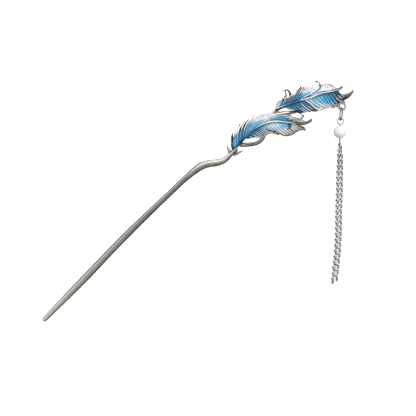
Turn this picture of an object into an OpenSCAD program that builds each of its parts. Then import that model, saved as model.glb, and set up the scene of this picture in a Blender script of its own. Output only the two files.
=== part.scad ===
// Hair stick: one casting with a tapered shaft, an S-shaped neck and two overlapping feathers, enamel
// laid in the feathers' vanes, and a drop of a jump ring, a bead on an eye pin and two curb chains.
// It lies on its side. +X runs from the shaft's point to the feathers, and +Z is up.

/* [Shaft] */
// Length of the straight shaft, from its point to the S-shaped neck
shaft_len = 88; // [70:1:120]
// Thickness at the thickest place, a third of the way from the point
shaft_thick = 3.2; // [2.6:0.1:4]
// Sideways bow of the shaft at its middle
shaft_bow = 1.5; // [0:0.1:3]

/* [Feathers] */
// Thickness of the cast vanes
vane_thick = 1.2; // [0.9:0.1:1.2]
// Width of each feather's central rib at its root
rib_width = 1.3; // [0.8:0.1:1.8]
// Height of the cast barbs over the grooves between them
barb_relief = 0.35; // [0.1:0.05:0.5]
// Depth of the notches between barb tips, as a share of a barb's length
notch = 0.12; // [0:0.01:0.2]
// How much steeper a barb leaves the rib than it ends, in degrees
barb_sweep = 12; // [0:1:25]

/* [Enamel] */
// Depth of the enamel's recess
recess = 0.45; // [0.3:0.05:0.6]
// Gap between the enamel and the metal
enamel_gap = 0.05; // [0.03:0.01:0.1]

/* [Drop] */
// Diameter of the bead
bead_d = 6; // [5:0.1:7]
// Hole through the bead
bead_bore = 1; // [0.8:0.1:1.4]
// Wire of the eye pin
pin_wire = 0.5; // [0.4:0.05:0.55]
// Wire of the jump ring
ring_wire = 0.5; // [0.4:0.05:0.6]
// Tilt of the jump ring from upright, in degrees
ring_tilt = 20; // [5:1:30]

/* [Chains] */
// Links in each strand
links = 25; // [6:1:25]
// Distance from one link's middle to the next in the left strand
link_pitch = 2.54; // [2.5:0.01:2.6]
// How much closer together the right strand's links lie
right_slack = 0.06; // [0:0.01:0.1]
// Length of a link over its ends
link_len = 3.85; // [3.75:0.01:3.9]
// Width of a link
link_width = 1.72; // [1.66:0.01:1.74]
// Wire of a link
link_wire = 0.37; // [0.33:0.01:0.38]
// Rise of a link's twist over and under its own plane
link_twist = 0.38; // [0.34:0.01:0.42]

/* [Hidden] */

// Shaft: share of the length, share of the greatest thickness
SHAFT = [[0, 0.16], [0.004, 0.42], [0.012, 0.58], [0.03, 0.66], [0.12, 0.76], [0.22, 0.92],
         [0.32, 1], [0.45, 0.96], [0.62, 0.91], [0.8, 0.79], [0.92, 0.75]];
bow_span = 1.25; // the bow is a half wave this many shafts long

// All that follows is measured from the end of the shaft: x on along it, y to its left, z up.
// Neck: x, y, thickness
NECK = [[-0.4, 1.2, 2.5], [3.5, 1.15, 2.7], [7.4, 0.75, 2.8], [11.2, -0.15, 2.8], [14.4, -1.8, 2.7],
        [17, -3.9, 2.5], [19.8, -5.4, 1.9], [22.4, -6, 1.5], [25, -6, 1.2], [27, -5.8, 1]];
axis_z = shaft_thick / 2;

// Central ribs of the lower and the upper feather: x, y
LOWER_RIB = [[25.7, -5.8], [30.5, -5.6], [35.3, -5.3], [40.2, -5.4], [44.8, -6.7], [48.9, -9.3],
             [52.1, -12.9], [55.1, -16.8]];
UPPER_RIB = [[52, -5.5], [56.2, -6.9], [60.2, -8.9], [64.1, -11], [68, -13.1], [72.1, -14.7],
             [75.8, -17.2], [79.6, -19.5]];

// Heights along each feather, root to tip: rib's top, back vane's edge, front vane's edge
LOWER_HEIGHT = [[2.3, 1.4, 1.3], [2.8, 1.21, 1.21], [3.1, 1.2, 1.2], [3, 1.3, 1.2], [2.5, 1.4, 1.21]];
UPPER_HEIGHT = [[3.1, 2.2, 2.6], [3.8, 2, 2.9], [4.1, 1.8, 2.2], [3.8, 1.6, 1.5], [3.2, 1.6, 1.5]];

// Barbs, one a row: root in percent of the rib, reach, lean from the rib, enamelled share, and on
// the upper feather's back the share at which the side rib crosses it
LOWER_BACK = [[0, 1.9, 60, 0], [1, 3.4, 66, 0], [2, 5, 64, 0.3], [3, 6.4, 57, 0.5],
              [4.5, 7.6, 50, 0.55], [6, 8.9, 45, 0.55], [8, 10, 40, 0.55], [10, 11, 37, 0.6],
              [14, 11.1, 31, 0.65], [19, 10.6, 25, 0.7], [24, 11.2, 22, 0.75], [30, 10.5, 20, 0.8],
              [37, 9.8, 20, 0.8], [44, 9.4, 22, 0.8], [51, 9, 25, 0.7], [59, 8.1, 25, 0.6],
              [66, 7.8, 25, 0.55], [74, 7, 26, 0.5], [83, 6.8, 22, 0.35], [92, 6, 20, 0],
              [100, 6, 17, 0]];
LOWER_FRONT = [[24, 2.5, 42, 0], [29, 3, 58, 0.5], [34, 4, 68, 0.7], [38, 4.9, 68, 0.75],
               [43, 5.9, 66, 0.75], [47, 6.5, 60, 0.7], [51, 7.4, 60, 0.7], [56, 8.5, 58, 0.7],
               [62, 9.1, 53, 0.7], [68, 10, 50, 0.65], [75, 9.5, 39, 0.6], [82, 8.2, 27, 0.4],
               [90, 7.3, 20, 0], [99, 4.5, 12, 0]];
UPPER_BACK = [[2, 2.4, 45, 0, 0], [4, 3.7, 53, 0.5, 0], [7, 4.4, 50, 0.6, 0],
              [10, 4.5, 50, 0.65, 0], [14, 4.4, 45, 0.65, 0], [19, 5.7, 43, 0.65, 0],
              [25, 6.5, 45, 0.65, 0], [30, 7.9, 50, 0.75, 0], [35, 8, 48, 0.75, 0.05],
              [41, 8.1, 46, 0.7, 0.2], [48, 8.2, 45, 0.7, 0.32], [56, 7.8, 35, 0.7, 0.45],
              [66, 6.8, 28, 0.7, 0.8], [75, 5.8, 32, 0.6, 0.8], [84, 3.8, 33, 0, 0.8],
              [93, 2, 30, 0, 0.8]];
UPPER_FRONT = [[8, 1.2, 25, 0], [11, 2, 32, 0.4], [15, 3.1, 48, 0.7], [20, 4.7, 56, 0.7],
               [24, 7.2, 58, 0.7], [30, 7.3, 54, 0.7], [36, 7.8, 54, 0.7], [42, 9, 51, 0.6],
               [50, 9.1, 48, 0.6], [58, 8.9, 55, 0.6], [67, 9.2, 65, 0.6], [76, 8.9, 62, 0.65],
               [84, 8, 61, 0.6], [96, 5.7, 58, 0]];
// Side rib over the upper feather's back vane: barb number, share of the barb
SIDE_RIB = [[7.8, 0], [9, 0.2], [10, 0.32], [11, 0.45], [11.35, 0.62], [11.3, 0.8], [11, 1]];
side_rib_width = 0.8;
side_rib_clear = 0.14; // share of a barb between the side rib's middle and the enamel
vane_start = 0.05; // share of a barb before the recess, under the rib
vane_lap = 0.04; // share of a barb by which a vane reaches back into the other one, under the rib
lap_drop = 0.2; // depth of the lapping edge inside the other vane
pool_wall = 0.03; // share of a barb taken by the recess's sloping wall
tooth_back = 0.35; // where between two tips the notch lies

// Curls: x, y, heading, length, bend in the first and the second half, width at root and tip, height
CURLS = [
    [60.9, -5.6, 50, 3.9, 25, 28, 1.3, 0.7, 2.2],     // twin curls on the upper feather's back
    [62.2, -6.1, 56, 4, 20, 62, 1.2, 0.7, 2.2],
    [75.4, -11.8, 82, 1.7, 25, 45, 0.8, 0.8, 2.3],    // the side rib's hooked end
    [78.1, -18.7, -34, 4.2, 13, 30, 1.6, 0.5, 2.6],  // its tip leaf
    [75.9, -20.1, -60, 9.9, 32, 45, 4.2, 0.7, 2.2],  // its horn
    [51.9, -7.2, -25, 9.4, -10, 8, 1.6, 1.5, 1.5],   // the lower feather's barb under the upper one
    [54.2, -12.4, -46, 8.3, -14, 120, 1.5, 0.8, 1.6], // its two tails
    [53.6, -14.5, -53, 10.4, 8, 45, 1.9, 0.8, 1.8],
    [52, -16.2, -50, 7.3, 5, -48, 1.5, 0.6, 1.3],    // its under leaf
    [47.4, -16, -60, 11.2, 54, -52, 1.4, 0.7, 1.3],  // its wave
    [30.6, -6.1, -48, 12.6, 18, 66, 1.6, 1.3, 1.3],  // its open loop, three strips
    [38.3, -8.3, -42, 3.2, -5, -44, 1.1, 1, 1.3],
    [40.2, -10.6, -4, 3.6, 0, -5, 1, 1, 1.3],
    [25.4, -5.7, 122, 4.5, -42, -72, 1.4, 0.5, 1.5], // leaves at the neck
    [24.4, -5.7, 95, 2.2, -12, -11, 1.2, 0.4, 1.4],
    [25.2, -6.6, -43, 5.1, 27, -13, 1.6, 0.5, 1.4],
    [26.2, -7.4, -78, 1.2, 0, 0, 0.9, 0.4, 1.3],
    [27, -6.5, -2, 1.4, 0, 0, 1.2, 0.7, 1.8]];

// Knobs, rounded ends and small lumps: x, y, heading, length, width, height
KNOBS = [[75.1, -10.2, 140, 0.7, 1.2, 2.6], [64.9, -6.9, 60, 0.8, 1.1, 2.1],
         [67.7, -6.9, 60, 0.9, 1.2, 2], [56.7, -4.2, 90, 0.6, 0.9, 2.1], [58.5, -4.5, 70, 0.6, 0.9, 2.1],
         [59.5, -4.9, 70, 0.6, 0.9, 2.1], [59.7, -16.6, 100, 0.6, 1, 1.6],
         [76.3, -23.7, -60, 1.1, 2, 2.3], [73.7, -23.4, -70, 1.2, 1.6, 2.3]];

// Cast loop at the upper feather's tip, a ring with its middle at LOOP
LOOP = [75.4, -25.7, 2.7];
loop_r = 1.45;
loop_half = 0.42; // half the ring's thickness

// Eye pin: its upper eye lies flat with its middle at EYE, and its lower eye stands on edge
EYE = [70.2, -30.2, bead_d / 2];
pin_heading = -137;
eye_r = 1.35;
low_eye_r = 1.2;
bead_run = 4.85; // from the upper eye's middle to the bead's
low_eye_run = bead_run + bead_d / 2 + low_eye_r + pin_wire / 2 + 0.05;

// Jump ring, halfway between the cast loop and the upper eye
ring_r = 2.75;
RING = [(LOOP[0] + EYE[0]) / 2, (LOOP[1] + EYE[1]) / 2, 2.9];
ring_shift = 0.05; // towards the loop

// Chains' run from the lower eye: distance along the drop's heading, shift to its left
drop_heading = -134.5;
CHAIN_RUN = [[0, 0], [8, 0], [16, -0.3], [24, -0.5], [32, -0.6], [40, -0.7], [48, -1],
             [56, -1.6], [64, -2.4]];
strand_gap = 1.86; // between the strands' middle lines
strand_part = 3.1; // run over which the strands part
strand_fall = 11; // run over which they come down to the floor
first_roll = -40; // the first link is flat, and this roll of the second dies out over the next
first_step = 1.0; // height of one first link over the other
first_run = 0.7; // from the eye's wire to the first link's middle
link_z = link_twist + link_wire / 2; // height at which a link's middle lies on the floor
link_rings = 12; // sections round a link
wire_sides = 5; // sides of its wire

// The part's origin: the middle of its box, from the shaft's point
ORIGIN = [86.16, -38.89];

function dir(a) = [cos(a), sin(a)];
function unit(v) = v / norm(v);
function reversed(list) = [for (i = [len(list) - 1:-1:0]) list[i]];
// Catmull-Rom curve through the rows of a table, u from 0 at the first row to 1 at the last
function curve(rows, u) =
    let (last = len(rows) - 1, x = min(max(u, 0), 1) * last, i = min(floor(x), last - 1), f = x - i,
         p0 = rows[max(i - 1, 0)], p1 = rows[i], p2 = rows[i + 1], p3 = rows[min(i + 2, last)])
    (2 * p1 + (p2 - p0) * f + (2 * p0 - 5 * p1 + 4 * p2 - p3) * f * f
     + (3 * p1 - p0 - 3 * p2 + p3) * f * f * f) / 2;
function heading(rows, u) =
    let (d = curve(rows, u + 0.01) - curve(rows, u - 0.01)) atan2(d[1], d[0]);
// Row of a table at a real index, on the straight line between its neighbours
function row_at(rows, k) =
    let (i = min(floor(k), len(rows) - 2)) rows[i] + (rows[i + 1] - rows[i]) * (k - i);

// Ring of a round or oval section across a heading
function section(p, head, width, height, sides) =
    [for (i = [0:sides - 1])
        let (a = 360 * (i + 0.5) / sides, s = cos(a) * width / 2)
        [p[0] + dir(head + 90)[0] * s, p[1] + dir(head + 90)[1] * s, p[2] + sin(a) * height / 2]];

// Solid through closed rings of an even number of points, capped by a ladder of triangles
module skin(rings) {
    n = len(rings[0]);
    m = len(rings);
    half = n / 2;
    points = [for (r = rings) each r];
    walls = [for (i = [0:m - 2]) for (j = [0:n - 1])
        let (a = i * n + j, b = i * n + (j + 1) % n, c = b + n, d = a + n)
        each [[a, d, c], [a, c, b]]];
    first = [for (j = [0:half - 2])
        let (a = j, b = j + 1, c = n - 2 - j, d = n - 1 - j) each [[a, b, c], [a, c, d]]];
    last = [for (f = first) [for (p = reversed(f)) p + (m - 1) * n]];
    polyhedron(points, concat(walls, first, last), convexity = 8);
}

// Shaft and neck, one round taper along their middle line
module stick() {
    shaft = [for (r = SHAFT)
        let (x = r[0] * shaft_len, w = r[1] * shaft_thick, slope = 180 / (bow_span * shaft_len),
             head = atan(shaft_bow * cos(slope * x) * slope * PI / 180))
        section([x - shaft_len, shaft_bow * sin(slope * x), axis_z], head, w, w, 12)];
    neck = [for (i = [0:15])
        let (u = i / 15, r = curve(NECK, u))
        section([r[0], r[1], axis_z + 0.5 * u], heading(NECK, u), r[2], r[2], 12)];
    skin(concat(shaft, neck));
}

// Central rib of a feather
module rib(spine, heights) {
    skin([for (i = [0:13])
        let (u = i / 13, p = curve(spine, u), z = curve(heights, u)[0], w = rib_width * (1 - 0.55 * u))
        section([p[0], p[1], z - w / 2], heading(spine, u), w, 1.2 * w, 6)]);
}

// Share lost to the notch, and the cast relief, at a real barb number
function notch_share(k) =
    let (f = k - floor(k)) notch * (f < tooth_back ? f / tooth_back : (1 - f) / (1 - tooth_back));
function relief(k) =
    let (f = k - floor(k)) barb_relief * (f < tooth_back ? 0.4 - 1.4 * f / tooth_back
                                                       : 1.4 * (f - tooth_back) / (1 - tooth_back) - 1);

// Point of a vane: side 1 is left of the rib and -1 right, k the barb, v the share of its length
function vane_point(spine, heights, rows, side, k, v, lift) =
    let (row = row_at(rows, k), u = row[0] / 100, root = curve(spine, u), head = heading(spine, u),
         reach = row[1] * (1 - notch_share(k)), tip = root + reach * dir(head + side * row[2]),
         bend = root + 0.55 * reach * dir(head + side * (row[2] + barb_sweep)),
         p = (1 - v) * (1 - v) * root + 2 * v * (1 - v) * bend + v * v * tip,
         h = curve(heights, u), edge = h[side > 0 ? 1 : 2], top = h[0] - 0.35,
         z = edge + (top - edge) * (1 - pow(max(v, 0), 1.6)))
    [p[0], p[1], z + lift];

// Columns of a vane: two to a barb, at its tip and at the notch behind it
function columns(rows) =
    concat([for (k = [0:len(rows) - 2]) each [k, k + tooth_back]], [len(rows) - 1]);

// Cast vane with its recess
module vane(spine, heights, rows, side) {
    skin([for (k = columns(rows))
        let (fill = row_at(rows, k)[3], deep = fill > 0.2 ? recess : 0, f = max(fill, 0.2),
             crest = relief(k), at = function (v, lift)
                 vane_point(spine, heights, rows, side, k, v, lift),
             ring = [at(-vane_lap, -lap_drop), at(vane_start, 0), at(vane_start + pool_wall, -deep),
                     at(f / 2, -deep), at(f - pool_wall, -deep), at(f, crest), at(1, crest * 0.6),
                     at(1, -vane_thick), at(0.5, -vane_thick), at(-vane_lap, lap_drop - vane_thick)])
        side > 0 ? reversed(ring) : ring]);
}

// Share of a barb at which it is clear of the central rib's side
function beside_rib(row) = max(vane_start + 2 * pool_wall,
    (rib_width * (1 - 0.55 * row[0] / 100) / 2 + 0.2) / (row[1] * sin(row[2] + barb_sweep / 2)));

// Enamel in a vane's recess, from barb a to barb b: the whole of it, or where a side rib crosses,
// beyond that rib (part 1) or short of it (part -1)
module enamel(spine, heights, rows, side, a, b, part = 0) {
    skin([for (k = columns(rows)) if (k >= a && k <= b)
        let (row = row_at(rows, k), fill = row[3] - 2 * pool_wall, open = beside_rib(row),
             v0 = part > 0 ? max(open, row[4] + side_rib_clear) : open,
             v1 = part < 0 ? min(fill, row[4] - side_rib_clear) : fill,
             low = enamel_gap - recess, high = -0.05, at = function (v, lift)
                 vane_point(spine, heights, rows, side, k, v, lift),
             ring = [at(v0, high), at((v0 + v1) / 2, high), at(v1, high),
                     at(v1, low), at((v0 + v1) / 2, low), at(v0, low)])
        side > 0 ? reversed(ring) : ring]);
}

// Side rib, laid in the recess across the barbs
module side_rib(spine, heights, rows, side) {
    function at(u) = let (c = curve(SIDE_RIB, u))
        vane_point(spine, heights, rows, side, c[0], c[1], 0);
    skin([for (i = [0:9])
        let (u = i / 9, p = at(u), q = at(min(u + 0.02, 1)) - at(u - 0.02), w = side_rib_width)
        section(p - [0, 0, 0.25 * w], atan2(q[1], q[0]), w, 1.3 * w, 6)]);
}

// Tapering curl that starts at a point and bends by two steady arcs
module curl(c) {
    steps = 6;
    heads = [for (i = [0:steps])
        let (u = i / steps) c[2] + c[4] * min(2 * u, 1) + c[5] * max(2 * u - 1, 0)];
    step = c[3] / steps;
    function walk(i) = i == 0 ? [c[0], c[1]]
        : walk(i - 1) + step * dir((heads[i - 1] + heads[i]) / 2);
    skin([for (i = [0:steps])
        let (u = i / steps, p = walk(i), w = c[6] + (c[7] - c[6]) * pow(u, 1.3), h = min(w, 1.5))
        section([p[0], p[1], c[8] - h / 2 + 0.2], heads[i], w, h, 6)]);
}

module knob(c) {
    hull() for (s = [0, 1])
        translate([c[0] + s * c[3] * cos(c[2]), c[1] + s * c[3] * sin(c[2]), c[5] - 0.4])
            sphere(d = c[4] * (1 - 0.2 * s), $fn = 6);
}

module casting() {
    color("darkgray") place() {
        stick();
        vane(LOWER_RIB, LOWER_HEIGHT, LOWER_BACK, 1);
        vane(LOWER_RIB, LOWER_HEIGHT, LOWER_FRONT, -1);
        rib(LOWER_RIB, LOWER_HEIGHT);
        vane(UPPER_RIB, UPPER_HEIGHT, UPPER_BACK, 1);
        side_rib(UPPER_RIB, UPPER_HEIGHT, UPPER_BACK, 1);
        vane(UPPER_RIB, UPPER_HEIGHT, UPPER_FRONT, -1);
        rib(UPPER_RIB, UPPER_HEIGHT);
        for (c = CURLS) curl(c);
        for (c = KNOBS) knob(c);
        translate(LOOP) wire_ring(loop_r, loop_half, 20, 6);
    }
}

module place() {
    translate([shaft_len - ORIGIN[0], -ORIGIN[1], 0]) children();
}

module wire_ring(r, half, around = 96, sides = 48) {
    rotate_extrude($fn = around) translate([r, 0]) circle(half, $fn = sides);
}

module enamel_lower_back() {
    color("steelblue") place() enamel(LOWER_RIB, LOWER_HEIGHT, LOWER_BACK, 1, 3, 18);
}

module enamel_lower_front() {
    color("steelblue") place() enamel(LOWER_RIB, LOWER_HEIGHT, LOWER_FRONT, -1, 1, 11);
}

module enamel_upper_back() {
    color("royalblue") place() enamel(UPPER_RIB, UPPER_HEIGHT, UPPER_BACK, 1, 2, 11, 1);
}

module enamel_upper_tip() {
    color("lightblue") place() enamel(UPPER_RIB, UPPER_HEIGHT, UPPER_BACK, 1, 9.3, 13, -1);
}

module enamel_upper_front() {
    color("steelblue") place() enamel(UPPER_RIB, UPPER_HEIGHT, UPPER_FRONT, -1, 2, 12);
}

module jump_ring() {
    run = LOOP - EYE;
    color("silver") place() translate(RING) rotate([0, 0, atan2(run[1], run[0])])
        translate([ring_shift, 0, 0]) rotate([90 - ring_tilt, 0, 0]) wire_ring(ring_r, ring_wire / 2);
}

module eye_pin() {
    color("silver") place() translate(EYE) rotate([0, 0, pin_heading]) {
        wire_ring(eye_r, pin_wire / 2);
        translate([eye_r, 0, 0]) rotate([0, 90, 0])
            cylinder(d = pin_wire, h = low_eye_run - low_eye_r - eye_r, $fn = 48);
        translate([low_eye_run, 0, 0]) rotate([90, 0, 0]) wire_ring(low_eye_r, pin_wire / 2);
    }
}

module bead() {
    color("white") place() translate(EYE) rotate([0, 0, pin_heading]) translate([bead_run, 0, 0])
        rotate([0, 90, 0]) difference() {
            sphere(d = bead_d, $fn = 96);
            cylinder(d = bead_bore, h = 2 * bead_d, center = true, $fn = 48);
        }
}

// Middle line of a strand at a run along the drop, side 1 for the right strand and -1 for the left
function strand_point(side, run) =
    let (shift = curve(CHAIN_RUN, run / CHAIN_RUN[len(CHAIN_RUN) - 1][0])[1],
         part = min(1, run / strand_part), top = EYE[2] - side * first_step / 2,
         fall = (1 + cos(180 * min(1, max(0, (run - 0.8) / strand_fall)))) / 2)
    [run, shift + side * strand_gap / 2 * part, link_z + (top - link_z) * fall];

// Runs at which the links' middles lie, each a pitch after the last
function link_runs(side, run, count) = count == 0 ? [] : let (half = run + link_pitch / 2,
    pitch = link_pitch - (side > 0 ? right_slack : 0),
    stretch = norm(strand_point(side, half + 0.5) - strand_point(side, half - 0.5)))
    concat([run], link_runs(side, run + pitch / stretch, count - 1));

// Middle line of a link's wire, t in degrees round it: an oval whose sides rise and fall
function link_curve(t, twist) = [(link_len - link_wire) / 2 * cos(t),
    (link_width - link_wire) / 2 * sin(t), twist * sin(2 * t)];

// Points of one link's wire, set at p with its length along f and rolled about it
function link_points(p, f, twist, roll) =
    let (side = unit(cross([0, 0, 1], f)), left = cos(roll) * side + sin(roll) * cross(f, side),
         up = cross(f, left))
    [for (s = [0:link_rings - 1])
        let (t = 360 * (s + 0.5) / link_rings, c = link_curve(t, twist),
             along = unit(link_curve(t + 1, twist) - link_curve(t - 1, twist)),
             out = unit(cross(along, [0, 0, 1])), over = cross(out, along))
        for (j = [0:wire_sides - 1])
            let (a = 360 * j / wire_sides, q = c + link_wire / 2 * (cos(a) * out + sin(a) * over))
            p + q[0] * f + q[1] * left + q[2] * up];

// Faces of one link, whose first point has number o
function link_faces(o) = [for (s = [0:link_rings - 1]) for (j = [0:wire_sides - 1])
    let (a = o + s * wire_sides + j, b = o + s * wire_sides + (j + 1) % wire_sides,
         next = ((s + 1) % link_rings - s) * wire_sides)
    each [[a, b, b + next], [a, b + next, a + next]]];

// Strand of links from the lower eye to its free end
module strand(side) {
    runs = link_runs(side, first_run, links);
    points = [for (i = [0:links - 1])
        let (a = strand_point(side, runs[i] - link_pitch / 2),
             b = strand_point(side, runs[i] + link_pitch / 2),
             roll = i == 0 ? 0 : first_roll * max(0, 1 - (i - 1) / 4))
        each link_points((a + b) / 2, unit(b - a), i == 0 ? 0 : link_twist, roll)];
    faces = [for (i = [0:links - 1]) each link_faces(i * link_rings * wire_sides)];
    place() translate([EYE[0], EYE[1], 0]) rotate([0, 0, pin_heading])
        translate([low_eye_run + low_eye_r, 0, 0]) rotate([0, 0, drop_heading - pin_heading])
            polyhedron(points, faces, convexity = 10);
}

module chain_left() {
    color("silver") strand(-1);
}

module chain_right() {
    color("silver") strand(1);
}

casting();
enamel_lower_back();
enamel_lower_front();
enamel_upper_back();
enamel_upper_tip();
enamel_upper_front();
jump_ring();
eye_pin();
bead();
chain_left();
chain_right();
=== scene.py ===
"""Feather hair stick: the looks of a silver casting with enamelled vanes and a bead-and-chain drop.

Sizes in the tables are millimetres measured from the end of the straight shaft: x on along it,
y to its left and z up from the floor. place() turns them into the frame's metres.
"""
import math
from collections import namedtuple

import bpy
import numpy as np
from bpy.props import FloatProperty, FloatVectorProperty, PointerProperty
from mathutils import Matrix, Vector


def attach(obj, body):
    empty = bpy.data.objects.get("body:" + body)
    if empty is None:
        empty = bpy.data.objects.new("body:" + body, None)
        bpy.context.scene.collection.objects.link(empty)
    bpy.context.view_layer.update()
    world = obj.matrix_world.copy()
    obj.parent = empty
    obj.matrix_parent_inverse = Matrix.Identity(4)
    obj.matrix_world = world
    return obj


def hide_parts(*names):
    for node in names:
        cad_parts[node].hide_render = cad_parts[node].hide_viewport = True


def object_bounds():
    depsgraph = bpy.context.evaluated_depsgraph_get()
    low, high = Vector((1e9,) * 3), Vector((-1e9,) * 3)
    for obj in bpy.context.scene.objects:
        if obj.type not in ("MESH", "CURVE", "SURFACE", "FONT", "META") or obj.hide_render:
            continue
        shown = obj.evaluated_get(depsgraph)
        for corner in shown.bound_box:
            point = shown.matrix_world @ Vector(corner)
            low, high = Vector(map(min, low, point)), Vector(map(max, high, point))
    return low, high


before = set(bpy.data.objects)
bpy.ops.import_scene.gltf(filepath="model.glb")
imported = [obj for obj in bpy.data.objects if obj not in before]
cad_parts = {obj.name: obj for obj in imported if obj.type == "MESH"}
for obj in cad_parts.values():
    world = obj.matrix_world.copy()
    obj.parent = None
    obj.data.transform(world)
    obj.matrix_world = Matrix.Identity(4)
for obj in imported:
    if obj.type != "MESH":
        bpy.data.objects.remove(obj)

cad_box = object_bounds()

bl_info = {
    "name": "Feather hair stick",
    "version": (1, 0, 0),
    "blender": (4, 5, 0),
    "location": "3D View > Sidebar > Hair Stick",
    "description": "Builds the finished surfaces of a feather hair stick over its solid frame",
    "category": "Add Mesh",
}

MM = 0.001
BODY = "root"

# End of the straight shaft in the frame, in millimetres
SHAFT_END = (1.84, 38.89, 0.0)
SHAFT_THICK = 3.56
AXIS_Z = 1.6
ROUND_HIGH = 0.9  # height of the round sections as a share of their width

# Middle line of the shaft at equal steps of its length: x, y
SHAFT_LINE = [[-88.6, -0.17], [-80.6, -0.03], [-72.6, 0.15], [-64.5, 0.3], [-56.5, 0.5], [-48.5, 0.8],
              [-40.5, 1.0], [-32.5, 1.12], [-24.4, 1.11], [-16.4, 1.02], [-8.4, 0.87], [-0.4, 0.76]]
# Shaft: share of the length, share of the greatest thickness
SHAFT = [[0, 0.16], [0.004, 0.42], [0.012, 0.6], [0.03, 0.69], [0.12, 0.8], [0.22, 0.93],
         [0.32, 0.98], [0.45, 0.94], [0.62, 0.91], [0.8, 0.8], [0.92, 0.75], [1, 0.75]]
# Neck: x, y, thickness
NECK = [[-0.4, 0.76, 2.65], [3.5, 0.58, 2.9], [7.3, 0.28, 3.35], [11.1, -0.4, 3.6], [14.3, -1.95, 3.5],
        [16.9, -4, 3.3], [19.7, -5.6, 2.75], [22.4, -5.95, 2.45], [25, -6, 1.6], [27, -5.8, 1]]
# Plate of shaft and neck: x, share of the bright tone, strength of the painted shade
PLATE = [[-88, 0.6, 0.75], [-76, 0.5, 0.8], [-60, 0.22, 0.95], [-40, 0.12, 1], [-26, 0.08, 1.35],
         [3, 0.1, 1.4], [7, 0.4, 1], [11, 0.8, 1], [22, 1, 1], [27, 0.6, 1]]
# Painted shade round shaft and neck, in bands standing for its reflections: place across from right -1
# to left 1, how dark on the shaft and on the neck
SHADE = [[-1, 0.4, 0.5], [-0.7, 0.48, 0.6], [-0.5, 0.46, 0.62], [-0.3, 0.15, 0.54], [-0.1, 0.33, 0.46],
         [0.08, 0.5, 0.38], [0.22, 0.47, 0.2], [0.32, 0.1, 0.08], [0.8, 0, 0], [1, 0.3, 0.2]]

# Central ribs of the lower and the upper feather: x, y
LOWER_RIB = [[25.7, -5.8], [30.5, -5.6], [35.3, -5.3], [40.2, -5.4], [44.8, -6.7], [48.9, -9.3],
             [52.1, -12.9], [55.1, -16.8]]
UPPER_RIB = [[52, -5.5], [56.2, -6.9], [60.2, -8.9], [64.1, -11], [68, -13.1], [72.1, -14.7],
             [75.8, -17.2], [79.6, -19.5]]
# Heights along each feather: rib's top, back vane's edge, front vane's edge
LOWER_HEIGHT = [[2.3, 1.4, 1.3], [2.8, 1.21, 1.21], [3.1, 1.2, 1.2], [3, 1.3, 1.2], [2.5, 1.4, 1.21]]
UPPER_HEIGHT = [[3.1, 2.2, 2.6], [3.8, 2, 2.9], [4.1, 1.8, 2.2], [3.8, 1.6, 1.5], [3.2, 1.6, 1.5]]

# Barbs, one a row: root in percent of the rib, reach, lean from the rib in degrees, enamelled share
LOWER_BACK = [[0, 1.9, 60, 0], [1, 3.4, 66, 0], [2, 5, 64, 0.3], [3, 6.4, 57, 0.5],
              [4.5, 7.6, 50, 0.55], [6, 8.9, 45, 0.55], [8, 10, 40, 0.55], [10, 11, 37, 0.6],
              [14, 11.1, 31, 0.65], [19, 10.6, 25, 0.7], [24, 11.2, 22, 0.75], [30, 10.5, 20, 0.8],
              [37, 9.8, 20, 0.8], [44, 9.4, 22, 0.8], [51, 9, 25, 0.7], [59, 8.1, 25, 0.6],
              [66, 7.8, 25, 0.55], [74, 7, 26, 0.5], [83, 6.8, 22, 0.35], [92, 6, 20, 0],
              [100, 6, 17, 0]]
LOWER_FRONT = [[24, 2.5, 42, 0], [29, 3, 58, 0.5], [34, 4, 68, 0.7], [38, 4.9, 68, 0.75],
               [43, 5.9, 66, 0.75], [47, 6.5, 60, 0.7], [51, 7.4, 60, 0.7], [56, 8.5, 58, 0.7],
               [62, 9.1, 53, 0.7], [68, 10, 50, 0.65], [75, 9.5, 39, 0.6], [82, 8.2, 27, 0.4],
               [90, 7.3, 20, 0], [99, 4.5, 12, 0]]
UPPER_BACK = [[2, 2.4, 45, 0], [4, 3.7, 53, 0.5], [7, 4.4, 50, 0.6], [10, 4.5, 50, 0.65],
              [14, 4.4, 45, 0.65], [19, 5.7, 43, 0.65], [25, 6.5, 45, 0.6], [30, 7.9, 50, 0.55],
              [35, 8, 48, 0.65], [41, 8.1, 46, 0.7], [48, 8.2, 45, 0.7], [56, 7.8, 35, 0.7],
              [66, 6.8, 28, 0.7], [75, 5.8, 32, 0.6], [84, 3.8, 33, 0], [93, 2, 30, 0]]
UPPER_FRONT = [[8, 1.2, 25, 0], [11, 2, 32, 0.4], [15, 3.1, 48, 0.7], [20, 4.7, 56, 0.7],
               [24, 7.2, 58, 0.7], [30, 7.3, 54, 0.7], [36, 7.8, 54, 0.7], [42, 9, 51, 0.6],
               [50, 9.1, 48, 0.6], [58, 8.9, 55, 0.6], [67, 9.2, 65, 0.6], [76, 8.9, 62, 0.65],
               [84, 8, 61, 0.6], [96, 5.7, 58, 0]]
# Side rib over the upper feather's back vane: barb number, share of the barb
SIDE_RIB = [[8.97, 0], [9.33, 0.09], [9.98, 0.17], [10.68, 0.29], [11.33, 0.45], [11.58, 0.62],
            [11.38, 0.84], [11.3, 0.95]]

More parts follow.
